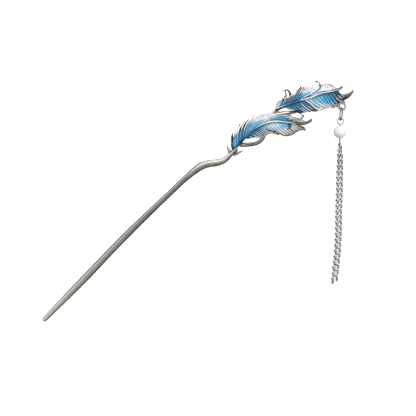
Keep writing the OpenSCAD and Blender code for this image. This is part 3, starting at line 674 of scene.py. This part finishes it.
def shaft_and_neck():
    """Round taper along the middle line: the shaft's own curve, then the neck's."""
    share = np.concatenate([np.linspace(0, 0.03, 14), np.linspace(0.04, 0.985, 70)])
    thick = np.interp(share, *np.array(SHAFT).T) * SHAFT_THICK
    line = curve(SHAFT_LINE, share)
    shaft = np.concatenate([line, 0 * line[:, :1] + AXIS_Z], 1)
    u = np.linspace(0, 1, 60)
    rows = curve(NECK, u)
    neck = np.stack([rows[:, 0], rows[:, 1], AXIS_Z + 0.5 * u], -1)
    path = np.concatenate([shaft, neck])
    width = np.concatenate([thick, rows[:, 2]])
    sides = 48
    rings = sections(path, width, ROUND_HIGH * width, sides)
    across = np.cos(2 * np.pi * (np.arange(sides) + 0.5) / sides)
    place_across, on_shaft, on_neck = np.array(SHADE).T
    along, shine, strength = np.array(PLATE).T
    neck_share = smooth(3, 13, path[:, 0])[:, None]
    # Painted shade round each section, standing for the shaft's dark reflection bands
    shade = (np.interp(across, place_across, on_shaft) * (1 - neck_share)
             + np.interp(across, place_across, on_neck) * neck_share)
    return skins(rings, wear=shade * np.interp(path[:, 0], along, strength)[:, None],
                 tint=np.interp(path[:, 0], along, shine)[:, None])


def flanks(rings, clean=0.8):
    """Painted shade round sections: 0 where a section's side looks up or to the stick's left, towards
    the light, rising to 1 where it looks down or right, away from it. The way a point looks is its step
    from the middle of its section."""
    out = rings - rings.mean(-2, keepdims=True)
    open_side = out @ LIT_WAY / (np.linalg.norm(out, axis=-1) + 1e-9)
    return 1 - smooth(0.05, clean, open_side)


def rib(vane, tones):
    """Oval rib along a feather's spine, as wide as its table, with its top at the table's height."""
    u = np.linspace(0, 1, 90)
    width = np.interp(u, *np.array(vane.rib).T)
    flat = curve(vane.spine, u)
    path = np.stack([flat[:, 0], flat[:, 1], curve(vane.heights, u)[:, 0] - RIB_DEEP / 2 + 0.1], -1)
    rings = sections(path, width, np.full(len(u), RIB_DEEP), 20, 0.8)
    along, *columns = np.array(tones).T
    dark, blue = (np.interp(u, along, column)[:, None] for column in columns)
    # Painted shade on the flanks turned from the light, with the rib's own dark and blue from its table
    return skins(rings, wear=np.maximum(flanks(rings), dark), wash=blue, tint=0.4)


def side_rib():
    """Oval rib laid across the barbs of the upper feather's back vane."""
    u = np.linspace(0, 1, 60)
    rows = curve(SIDE_RIB, u)
    path = vane_point(UPPER_BACK_VANE, rows[:, 0], rows[:, 1]) - [0, 0, 0.2]
    width = np.interp(u, *np.array(SIDE_RIB_WIDE).T)
    rings = sections(path, width, 0.4 + 0.8 * width, 16, 0.8)
    # Painted shade on the flanks turned from the light
    return skins(rings, wear=flanks(rings))


def vane_body(vane):
    """Cast vane: columns of points down each fine barb, over the recess and the outer zone with a
    groove between two fine barbs, round the edge and back along the flat underside."""
    k = np.linspace(0, len(vane.barbs) - 1, (len(vane.barbs) - 1) * VANE_COLUMNS + 1)
    enamelled = table_at(vane.barbs, k)[3]
    fill = np.maximum(enamelled, BARE)
    deep = np.where(enamelled > BARE, RECESS, 0)
    end = 1 - notch(k) - 0.02
    groove = 0.3 * ridge(vane, k) - 0.25
    share = [-0.04 + 0 * k, VANE_START + 0 * k, VANE_START + POOL_WALL + 0 * k]
    lift = [-0.2 + 0 * k, 0 * k, -deep]
    for t in (0.35, 0.7, 1):
        share.append(VANE_START + POOL_WALL + (fill - 2 * POOL_WALL - VANE_START) * t)
        lift.append(-deep)
    for t in np.linspace(0, 1, 10):
        share.append(fill + (end - fill) * t)
        lift.append(groove * smooth(-0.2, 0.6, t) * (1 - 0.3 * t))
    for t, high in ((1, 0), (0.5, 0), (-0.04, 0.2)):
        share.append(end * t if t > 0 else t + 0 * k)
        lift.append(high - VANE_THICK + 0 * k)
    share, lift = np.stack(share, -1), np.stack(lift, -1)
    rings = vane_point(vane, k[:, None], share, lift)
    if vane.side > 0:
        rings, share = rings[:, ::-1], share[:, ::-1]
    # Full dark at the rib's foot: antique finish in that groove, and painted shade beside the rib
    wear = np.where(share < VANE_START, 1, np.minimum(look(vane, k)[3][:, None], 1))
    wash = np.where(share < VANE_START + POOL_WALL, 1, wash_at(vane, k[:, None], share))
    return skins(rings, wear=wear, tint=look(vane, k)[6][:, None], wash=wash)


def strands(vane):
    """Strands in relief, one oval strip each, from its start share to its tip: its width follows
    the gap to its neighbours, swells out of the enamel and narrows to a rounded point."""
    rng = np.random.default_rng(vane.seed)
    last = len(vane.barbs) - 1
    middle = strand_rows(vane)
    count = len(middle)
    start, slim, full, patina_and_shade, _, _, _, sweep = (value[:, None] for value in look(vane, middle))
    t = np.linspace(0, 1, 24)
    begin = np.clip(start + rng.uniform(-0.08, 0.08, (count, 1)), 0.06, 0.95)
    end = 1 - 0.8 * notch(middle)[:, None] + rng.uniform(-0.02, 0.05, (count, 1))
    share = begin + (end - begin) * t
    sway = (sweep + rng.uniform(-0.1, 0.35, (count, 1))) * t ** 2
    half = np.gradient(middle)[:, None] / 2
    barb = np.clip(middle[:, None] + sway * 2 * half, 0, last)
    gap = np.linalg.norm(vane_point(vane, np.minimum(barb + half, last), share)
                         - vane_point(vane, np.maximum(barb - half, 0), share), axis=-1)
    gap = np.clip(gap, *STRAND_GAPS)
    fill = table_at(vane.barbs, middle)[3][:, None]
    swell = slim + (full - slim) * smooth(-0.15, 0.1, share - fill)
    taper = np.clip(1 - t ** 5, 0, 1) ** 0.6 * 0.9 + 0.1
    root = smooth(-0.02, 0.3, t)
    width = gap * swell * taper * (0.25 + 0.75 * root) * rng.uniform(*STRAND_VARY, (count, 1))
    height = np.minimum(0.6 * width + 0.25, 0.85)
    lift = -height / 2 + (0.12 + 0.25 * swell) * root + rng.uniform(-0.05, 0.12, (count, 1)) * t
    rings = sections(vane_point(vane, barb, share, lift), width, height, 14, 0.9)
    patina_and_shade = patina_and_shade * rng.uniform(*STRAND_VARY, (count, 1))
    # Painted shade on the flanks turned from the light, scaled by the strand's darkness; over 1 the top is
    # dark too
    edge = (np.clip(1.2 * patina_and_shade, 0.3, 1) * smooth(0.1, 0.6, width))[:, :, None]
    wear = flanks(rings, 0.95) * edge + np.maximum(patina_and_shade - 1, 0)[:, :, None]
    return skins(rings, wear=wear)


def curls():
    """Tapering curls: a short straight root in the body, then the heading turns by one steady arc in
    each half of the length. Broad curls have an engraved line along the top."""
    steps, sides = 32, 28
    u = np.linspace(0, 1, steps + 1)
    c = np.array(CURLS)[:, :, None]
    head = np.radians(c[:, 2] + c[:, 4] * np.minimum(2 * u, 1) + c[:, 5] * np.maximum(2 * u - 1, 0))
    middle = (head[:, 1:] + head[:, :-1]) / 2
    stride = (c[:, 3] / steps)[..., None] * ray(middle)
    flat = c[:, :2, 0][:, None] + np.concatenate([np.zeros((len(c), 1, 2)), np.cumsum(stride, 1)], 1)
    root = flat[:, :1] - CURL_ROOT * ray(head[:, :1])
    flat = np.concatenate([root, flat], 1)
    u = np.concatenate([[0], u])
    width = c[:, 6] + (c[:, 7] - c[:, 6]) * u ** 1.3
    high = np.minimum(width, CURL_HIGH)
    z = c[:, 8] - high / 2 + 0.2 - 0.25 * width * (1 - smooth(0, 0.25, u))
    rounding = np.sqrt(np.clip(1 - np.maximum((u - 0.9) / 0.1, 0) ** 2, 0, 1)) * 0.92 + 0.08
    rounding[0] = 0.6
    rings = sections(np.concatenate([flat, z[..., None]], -1), width * rounding, high * rounding, sides)
    # Painted shade on the flanks turned from the light, and the curl's own darkness on top
    wear = np.maximum(flanks(rings, 1.0), c[:, 9][..., None])
    crown = np.zeros(sides)
    crown[sides // 4 - 1:sides // 4 + 1] = 1
    broad = (smooth(*BROAD_CURL, width) * smooth(0, 0.15, u))[..., None] * crown
    rings[..., 2] -= ENGRAVED_DEEP * broad
    return skins(rings, wear=np.maximum(wear, ENGRAVED_WEAR * broad))


def free_strands():
    """Single strands through their points, with rounded ends."""
    meshes = []
    t = np.linspace(0, 1, 40)
    rounding = np.sqrt(np.clip(1 - (2 * t - 1) ** 8, 0, 1)) * 0.9 + 0.1
    for points, first, last, dark in FREE_STRANDS:
        width = (first + (last - first) * t) * rounding
        rings = sections(curve(points, t), width, 0.3 + 0.5 * width, 14)
        # Painted shade on the flanks turned from the light, and the strand's darkness on top
        meshes.append(skins(rings, wear=np.maximum(flanks(rings), dark)))
    for vane, points, first, last, dark, blue in LAID_STRANDS:
        barb, share = curve(points, t).T
        width = (first + (last - first) * t) * rounding
        rings = sections(vane_point(vane, barb, share, 0.15 - 0.1 * dark), width, 0.35 + 0.5 * width, 14)
        # Painted shade on the flanks turned from the light, with the strand's darkness and blue
        meshes.append(skins(rings, wear=np.maximum(flanks(rings), dark), wash=blue, tint=0.5))
    return meshes


def knobs():
    """Rounded lumps: an oval whose radius is the root of 1 less the square of its share."""
    c = np.array(KNOBS)[:, :, None]
    s = np.cos(np.linspace(np.pi, 0, 16))
    reach = c[:, 3] / 2 + c[:, 4] / 2
    run = c[:, 3] / 2 + reach * s
    head = np.radians(c[:, 2])
    radius = c[:, 4] * (1 - 0.1 * (1 + s)) * np.sqrt(np.clip(1 - s ** 2, 0.0004, 1))
    path = np.stack([c[:, 0] + run * np.cos(head), c[:, 1] + run * np.sin(head),
                     c[:, 5] - 0.4 + 0 * run], -1)
    rings = sections(path, radius, radius, 16)
    # Painted shade on the flanks turned from the light, over an even darkness
    return skins(rings, wear=np.maximum(flanks(rings), KNOB_WEAR))


def wire_ring(middle, radius, wire, across, down, around=64, sides=16, wear=WIRE_PATINA_AND_SHADE):
    """Round of wire: a small circle carried round a big one in the plane of two directions. Its darkness is
    the painted shade of its flanks turned from the light, kept between the two ends given, the lower an even
    dark finish."""
    across, down = np.asarray(across, float), np.asarray(down, float)
    out_of = np.cross(across, down)
    a = 2 * np.pi * np.arange(around) / around
    b = 2 * np.pi * np.arange(sides) / sides
    spoke = np.cos(a)[:, None] * across + np.sin(a)[:, None] * down
    rings = (np.asarray(middle) + spoke[:, None] * (radius + wire / 2 * np.cos(b))[None, :, None]
             + out_of * (wire / 2 * np.sin(b))[None, :, None])
    return loops(rings, wear=np.clip(flanks(rings), *wear))


def way(degrees):
    """Direction on the floor at an angle from +x."""
    return np.array([math.cos(math.radians(degrees)), math.sin(math.radians(degrees)), 0])


UP = np.array([0, 0, 1.0])


def eye_pin_meshes():
    """Flat upper eye, straight pin through the bead and lower eye on edge."""
    along = way(PIN_HEADING)
    eye = np.array(EYE)
    low = eye + along * LOW_EYE_RUN
    run = np.linspace(EYE_R, LOW_EYE_RUN - LOW_EYE_R, 24)
    thick = np.full(len(run), PIN_WIRE)
    pin = sections(eye + run[:, None] * along, thick, thick, 16)
    # Painted shade on the flanks turned from the light, kept between an even dark finish and a cap
    return [wire_ring(eye, EYE_R, EYE_WIRE, along, np.cross(UP, along), wear=EYE_PATINA_AND_SHADE),
            skins(pin, wear=np.clip(flanks(pin), *PIN_PATINA_AND_SHADE)),
            wire_ring(low, LOW_EYE_R, PIN_WIRE, along, UP)]


def jump_ring_mesh():
    """Ring through the cast loop and the upper eye, leaning from upright."""
    loop, eye = np.array(LOOP), np.array(EYE)
    run = (loop - eye)[:2]
    along = way(math.degrees(math.atan2(run[1], run[0])))
    middle = (loop + eye) / 2
    middle[2] = RING_Z
    lean = math.radians(90 - RING_TILT)
    down = math.cos(lean) * np.cross(UP, along) + math.sin(lean) * UP
    return wire_ring(middle + along * RING_SHIFT, RING_R, RING_WIRE, along, down, 96)


def bead_mesh():
    """Drilled ball: a half circle from one rim of the bore to the other, then back along the bore,
    turned about the pin. Its kept darkness is warm painted shade, which grows towards -x."""
    along = way(PIN_HEADING)
    radius, bore = BEAD_D / 2, BEAD_BORE / 2
    rim = math.asin(bore / radius)
    a = np.linspace(rim, np.pi - rim, 48)
    inner = np.linspace(-1, 1, 6)[1:-1] * radius * math.cos(rim)
    out = np.concatenate([radius * np.sin(a), np.full(len(inner), bore)])
    run = np.concatenate([radius * np.cos(a), inner])
    b = 2 * np.pi * np.arange(64) / 64
    side = np.cross(UP, along)
    spoke = np.cos(b)[:, None] * side + np.sin(b)[:, None] * UP
    middle = np.array(EYE) + along * BEAD_RUN
    step = (run[None, :, None] * along + out[None, :, None] * spoke[:, None])[:, ::-1]
    return loops(middle + step, wear=smooth(*BEAD_SHADE_SPAN, -step[..., 0] / radius))


def strand_point(side, run):
    """Middle line of a strand: shifted with the drop, parted from its twin, and falling from the eye
    to the floor as half a cosine."""
    shift = curve(CHAIN_RUN, np.asarray(run) / CHAIN_RUN[-1][0])[..., 1]
    part = np.interp(run, *np.array(STRAND_PART).T)
    top = EYE[2] - side * FIRST_STEP / 2
    fall = (1 + np.cos(np.pi * np.clip((np.asarray(run) - FALL_START) / STRAND_FALL, 0, 1))) / 2
    return np.stack([run, shift + side * STRAND_GAP / 2 * part, LINK_Z + (top - LINK_Z) * fall], -1)


def strand_mesh(side, around=28, sides=10):
    """Curb chain: each link's wire follows an oval whose sides rise and fall as the sine of twice the
    turn, and the links' middles lie a pitch apart along the strand."""
    runs, run = [], FIRST_RUN
    for _ in range(LINKS):
        runs.append(run)
        half = run + LINK_PITCH / 2
        stretch = np.linalg.norm(strand_point(side, half + 0.5) - strand_point(side, half - 0.5))
        run += (LINK_PITCH - (RIGHT_SLACK if side > 0 else 0)) / stretch
    runs = np.array(runs)
    number = np.arange(LINKS)
    a, b = strand_point(side, runs - LINK_PITCH / 2), strand_point(side, runs + LINK_PITCH / 2)
    middle = (a + b) / 2
    along = (b - a) / np.linalg.norm(b - a, axis=-1, keepdims=True)
    rolled = np.where(number == 0, 0, np.maximum(0, 1 - (number - 1) / ROLL_LINKS))
    roll = np.radians(FIRST_ROLL * rolled)[:, None]
    flat = np.cross(UP, along)
    flat /= np.linalg.norm(flat, axis=-1, keepdims=True)
    left = np.cos(roll) * flat + np.sin(roll) * np.cross(along, flat)
    up = np.cross(along, left)
    twist = np.where(number == 0, 0, LINK_TWIST)[:, None]

    def wire(t):
        """Wire's middle line at a turn t."""
        return np.stack([(LINK_LEN - LINK_BROAD) / 2 * np.cos(t) + 0 * twist,
                         (LINK_WIDTH - LINK_BROAD) / 2 * np.sin(t) + 0 * twist, -twist * np.sin(2 * t)], -1)

    t = 2 * np.pi * (np.arange(around) + 0.5) / around
    c = wire(t)
    step = wire(t + 0.02) - wire(t - 0.02)
    step /= np.linalg.norm(step, axis=-1, keepdims=True)
    out = np.cross(step, UP)
    out /= np.linalg.norm(out, axis=-1, keepdims=True)
    over = np.cross(out, step)
    turn = 2 * np.pi * np.arange(sides) / sides
    q = (c[:, :, None] + LINK_BROAD / 2 * np.cos(turn)[:, None] * out[:, :, None]
         + LINK_WIRE / 2 * np.sin(turn)[:, None] * over[:, :, None])
    axes = np.stack([along, left, up], 1)
    rings = middle[:, None, None] + np.einsum("lsjc,lcx->lsjx", q, axes)
    # Painted shade where the wire passes under, on the links' inner sides and on flanks turned from the light
    under = smooth(0.3, -0.7, -np.sin(2 * t))[:, None]
    low = np.array([EYE[0], EYE[1], 0]) + way(PIN_HEADING) * (LOW_EYE_RUN + LOW_EYE_R)
    ahead = way(DROP_HEADING)
    turned = (rings[..., :1] * ahead + rings[..., 1:2] * np.cross(UP, ahead) + rings[..., 2:] * UP)
    inner = smooth(0.2, 0.9, -np.cos(turn)) * smooth(0.9, 0.6, np.abs(np.cos(t)))[:, None]
    dark = LINK_SHADE * np.maximum(under, inner)
    return loops(turned + low, wear=np.maximum(LINK_FLANK_SHADE * flanks(turned), dark))


class HAIRSTICK_OT_stage(bpy.types.Operator):
    """Floor, light, sky and the camera over the stick"""
    bl_idname = "hairstick.stage"
    bl_label = "Stage"

    def execute(self, context):
        scene = context.scene
        bpy.ops.mesh.primitive_plane_add(size=FLOOR_SIZE, location=(0, 0, cad_box[0][2] - FLOOR_DROP * MM))
        floor = context.object
        floor.name = "floor"
        material, tree, shader = new_material("pale_floor")
        fill_in(tree, shader, {"Base Color": (0.95, 0.95, 0.95, 1), "Roughness": 0.9,
                               "Emission Color": (1, 1, 1, 1), "Emission Strength": FLOOR_GLOW})
        floor.data.materials.append(material)
        floor.visible_glossy = False
        middle = Vector(VIEW_MIDDLE) * MM
        self.light(middle)
        self.world(scene)
        scene.view_settings.view_transform = "Standard"
        camera = bpy.data.cameras.new("camera")
        camera.lens, camera.sensor_width = LENS, SENSOR
        seat = bpy.data.objects.new("camera", camera)
        scene.collection.objects.link(seat)
        distance = VIEW_WIDTH * MM * LENS / SENSOR
        seat.location = middle + Vector((0, 0, distance))
        seat.rotation_euler = (0, 0, math.radians(VIEW_TURN))
        scene.camera = seat
        return {"FINISHED"}

    def light(self, middle):
        """Square soft light that faces the stick."""
        data = bpy.data.lights.new("key", "AREA")
        data.shape, data.size, data.energy = "SQUARE", KEY_SIZE, KEY_POWER
        lamp = bpy.data.objects.new("key", data)
        bpy.context.scene.collection.objects.link(lamp)
        step = Vector(KEY_STEP)
        lamp.location = middle + step
        lamp.visible_glossy = False
        lamp.rotation_euler = (-step).to_track_quat("-Z", "Y").to_euler()

    def world(self, scene):
        """Sky that reflects bright on the stick's left and dark on its right, and lights evenly."""
        world = bpy.data.worlds.new("studio")
        scene.world = world
        world.use_nodes = True
        tree = world.node_tree
        tree.nodes.clear()
        split = add(tree, "SeparateXYZ", {0: add(tree, "TexCoord").outputs["Generated"]})
        half = [maths(tree, "ADD", maths(tree, "MULTIPLY", split.outputs[axis], 0.5), 0.5) for axis in "YZ"]
        under = ramp(tree, half[1], [(0.42, 1.0), (0.52, 0.0)])
        tone = mix(tree, under, ramp(tree, half[0], SKY), SKY_BELOW)
        path = add(tree, "LightPath").outputs
        tone = mix(tree, path["Is Diffuse Ray"], tone, SKY_EVEN)
        colour = mix(tree, path["Is Camera Ray"], tone, SKY_BEHIND)
        sky = add(tree, "Background", {"Color": colour, "Strength": 1.0})
        add(tree, "OutputWorld", {"Surface": sky.outputs[0]})


class HAIRSTICK_OT_casting(bpy.types.Operator):
    """Shaft, neck, ribs, curls and the loop of the casting"""
    bl_idname = "hairstick.casting"
    bl_label = "Casting"

    def execute(self, context):
        looks = context.scene.hair_stick_looks
        shaft = antique_silver("satin_shaft", looks.neck, looks.shaft, looks.patina_and_shade, (0.05, 1, 1),
                               by_tint=True)
        silver = antique_silver("feather_silver", looks.silver, looks.silver_dull, looks.patina_and_shade)
        aged = antique_silver("aged_silver", dimmed(looks.silver_dull, 0.8), looks.shaft, looks.patina_and_shade)
        piece("cast_shaft", [shaft_and_neck()], shaft, ["casting"])
        ribs = [rib(LOWER_BACK_VANE, LOWER_RIB_TONE), rib(UPPER_BACK_VANE, UPPER_RIB_TONE), side_rib()]
        ribs += free_strands()
        piece("cast_ribs", ribs, silver, ["casting"])
        loop = wire_ring(LOOP, LOOP_R, LOOP_WIRE, (1, 0, 0), (0, 1, 0))
        piece("cast_curls", [curls(), knobs(), loop], aged, ["casting"])
        return {"FINISHED"}


class HAIRSTICK_OT_vanes(bpy.types.Operator):
    """Cast vanes of both feathers with their fine barbs"""
    bl_idname = "hairstick.vanes"
    bl_label = "Vanes"

    def execute(self, context):
        silver = bpy.data.materials["feather_silver"]
        for name, pair in (("cast_lower_vanes", (LOWER_BACK_VANE, LOWER_FRONT_VANE)),
                           ("cast_upper_vanes", (UPPER_BACK_VANE, UPPER_FRONT_VANE))):
            meshes = [make(vane) for vane in pair for make in (vane_body, strands)]
            piece(name, meshes, silver, ["casting"])
        return {"FINISHED"}


# Where the side rib crosses the upper back vane: barb number, share of the barb
SIDE_CROSSING = [[8.9, 0], [9.33, 0.09], [9.98, 0.17], [10.68, 0.29], [11.33, 0.45], [11.58, 0.62], [12, 0.8]]
SIDE_CLEAR = 0.08  # share of a barb from the crossing to the enamel on each side
# Enamel: name, vane, first and last barb, and side of the side rib it lies on
ENAMELS = [
    ("enamel_lower_back", LOWER_BACK_VANE, 3.6, 18, 0),
    ("enamel_lower_front", LOWER_FRONT_VANE, 1, 11.4, 0),
    ("enamel_upper_back", UPPER_BACK_VANE, 2, 11, 1),
    ("enamel_upper_tip", UPPER_BACK_VANE, 9.6, 13, -1),
    ("enamel_upper_front", UPPER_FRONT_VANE, 2, 12.4, 0),
]


def enamel_glaze():
    """Glossy enamel: the glaze's colour, darker in the grooves and lighter on the ridges, where thin enamel
    over the silver is partly a painted glint.
    """
    material, tree, shader = new_material("glazed_enamel")
    base, crest = glaze(tree), kept(tree, "wear")
    low = mix(tree, 0.55, base, linear(GROOVE))
    colour = mix(tree, ramp(tree, crest, [(0.15, 0.0), (0.6, 1.0)]), low, base)
    colour = mix(tree, ramp(tree, crest, [(0.7, 0.0), (1.0, 0.5)]), colour, linear(CREST))
    fill_in(tree, shader, {"Base Color": colour, "Roughness": 0.3, "Specular IOR Level": 0.3,
                           "Coat Weight": 0.15, "Coat Roughness": 0.1})
    return material


def enamel_mesh(vane, first, last, part, ridge_rise):
    """Enamel in a recess: a top that rises over each fine barb and a flat floor, a gap clear of the
    metal. part 1 lies beyond the side rib and -1 short of it."""
    k = np.linspace(first, last, int(round((last - first) * ENAMEL_COLUMNS)) + 1)
    root_share, reach, lean, fill = table_at(vane.barbs, k)
    beside = (np.interp(root_share / 100, *np.array(vane.rib).T) / 2 + 0.1) / (
        reach * np.sin(np.radians(lean + BARB_SWEEP / 2)))
    low = np.maximum(VANE_START + 2 * POOL_WALL, beside)
    high = fill - 2 * POOL_WALL
    crossing = np.interp(k, *np.array(SIDE_CROSSING).T)
    if part > 0:
        low = np.maximum(low, np.where(k > SIDE_CROSSING[0][0], crossing + SIDE_CLEAR, low))
    if part < 0:
        high = np.maximum(np.minimum(high, crossing - SIDE_CLEAR), low + 0.02)
    t = np.linspace(0, 1, 26)
    share = low[:, None] + (high - low)[:, None] * t
    crest = ridge(vane, k)[:, None] * smooth(0, 0.3, t)
    top = ENAMEL_TOP - ridge_rise * (1 - crest)
    floor_t = np.linspace(1, 0, 4)
    floor = low[:, None] + (high - low)[:, None] * floor_t
    rings = np.concatenate([vane_point(vane, k[:, None], share, top),
                            vane_point(vane, k[:, None], floor, ENAMEL_GAP - RECESS)], 1)
    all_t = np.concatenate([t, floor_t])
    fade, _, tint = (value[:, None] for value in look(vane, k)[4:7])
    tint = tint + (1 - tint) * smooth(0, 0.45, all_t - fade)
    # Ridge marks for the enamel's colour: light where it thins over a barb, partly a painted glint
    streaks = 0.8 * crest + 0.2 * ridge(vane, k, 3)[:, None]
    crest = np.concatenate([streaks, np.zeros((len(k), len(floor_t)))], 1)
    if vane.side > 0:
        rings, tint, crest = rings[:, ::-1], tint[:, ::-1], crest[:, ::-1]
    return skins(rings, wear=crest, tint=tint)


class HAIRSTICK_OT_enamel(bpy.types.Operator):
    """Enamel in the recesses of the vanes"""
    bl_idname = "hairstick.enamel"
    bl_label = "Enamel"

    def execute(self, context):
        rise = context.scene.hair_stick_relief.enamel_ridge / MM
        enamel = enamel_glaze()
        for name, vane, first, last, part in ENAMELS:
            piece("glazed_" + name, [enamel_mesh(vane, first, last, part, rise)], enamel, [name])
        return {"FINISHED"}


class HAIRSTICK_OT_drop(bpy.types.Operator):
    """Jump ring, eye pin, bead and the two chains"""
    bl_idname = "hairstick.drop"
    bl_label = "Drop"

    def execute(self, context):
        looks = context.scene.hair_stick_looks
        wire = antique_silver("wire_silver", dimmed(looks.silver_dull, 0.85), looks.shaft, looks.patina_and_shade)
        chain = antique_silver("link_silver", dimmed(looks.silver, 0.66), dimmed(looks.silver, 0.47),
                               looks.patina_and_shade)
        piece("round_jump_ring", [jump_ring_mesh()], wire, ["jump_ring"])
        piece("round_eye_pin", eye_pin_meshes(), wire, ["eye_pin"])
        milky, tree, shader = new_material("milky_glass")
        # Painted shade on the bead: warm towards -x and darker at its rim
        facing = add(tree, "LayerWeight", {"Blend": 0.5}).outputs["Facing"]
        milk = mix(tree, kept(tree, "wear"), looks.bead, looks.bead_shade)
        fill_in(tree, shader, {"Base Color": mix(tree, facing, milk, dimmed(looks.bead, BEAD_RIM)),
                               "Roughness": 0.28, "Specular IOR Level": 0.3})
        piece("drilled_bead", [bead_mesh()], milky, ["bead"])
        piece("curb_chain_left", [strand_mesh(-1)], chain, ["chain_left"])
        piece("curb_chain_right", [strand_mesh(1)], chain, ["chain_right"])
        return {"FINISHED"}


class HAIRSTICK_PT_panel(bpy.types.Panel):
    """Sizes, colours and steps of the hair stick"""
    bl_idname = "HAIRSTICK_PT_panel"
    bl_label = "Feather hair stick"
    bl_space_type = "VIEW_3D"
    bl_region_type = "UI"
    bl_category = "Hair Stick"

    def draw(self, context):
        for group in (context.scene.hair_stick_looks, context.scene.hair_stick_relief):
            for name in group.__annotations__:
                self.layout.prop(group, name)
        for step in STEPS:
            self.layout.operator(step.bl_idname)


GROUPS = (Looks, Relief)
STEPS = (HAIRSTICK_OT_stage, HAIRSTICK_OT_casting, HAIRSTICK_OT_vanes, HAIRSTICK_OT_enamel,
         HAIRSTICK_OT_drop)


def register():
    for made in (*GROUPS, *STEPS, HAIRSTICK_PT_panel):
        bpy.utils.register_class(made)
    bpy.types.Scene.hair_stick_looks = PointerProperty(type=Looks)
    bpy.types.Scene.hair_stick_relief = PointerProperty(type=Relief)


def unregister():
    del bpy.types.Scene.hair_stick_relief
    del bpy.types.Scene.hair_stick_looks
    for made in (HAIRSTICK_PT_panel, *reversed(STEPS), *reversed(GROUPS)):
        bpy.utils.unregister_class(made)


def main():
    register()
    bpy.ops.hairstick.stage()
    bpy.ops.hairstick.casting()
    bpy.ops.hairstick.vanes()
    bpy.ops.hairstick.enamel()
    bpy.ops.hairstick.drop()
    bpy.context.view_layer.update()


if __name__ == "__main__":
    main()
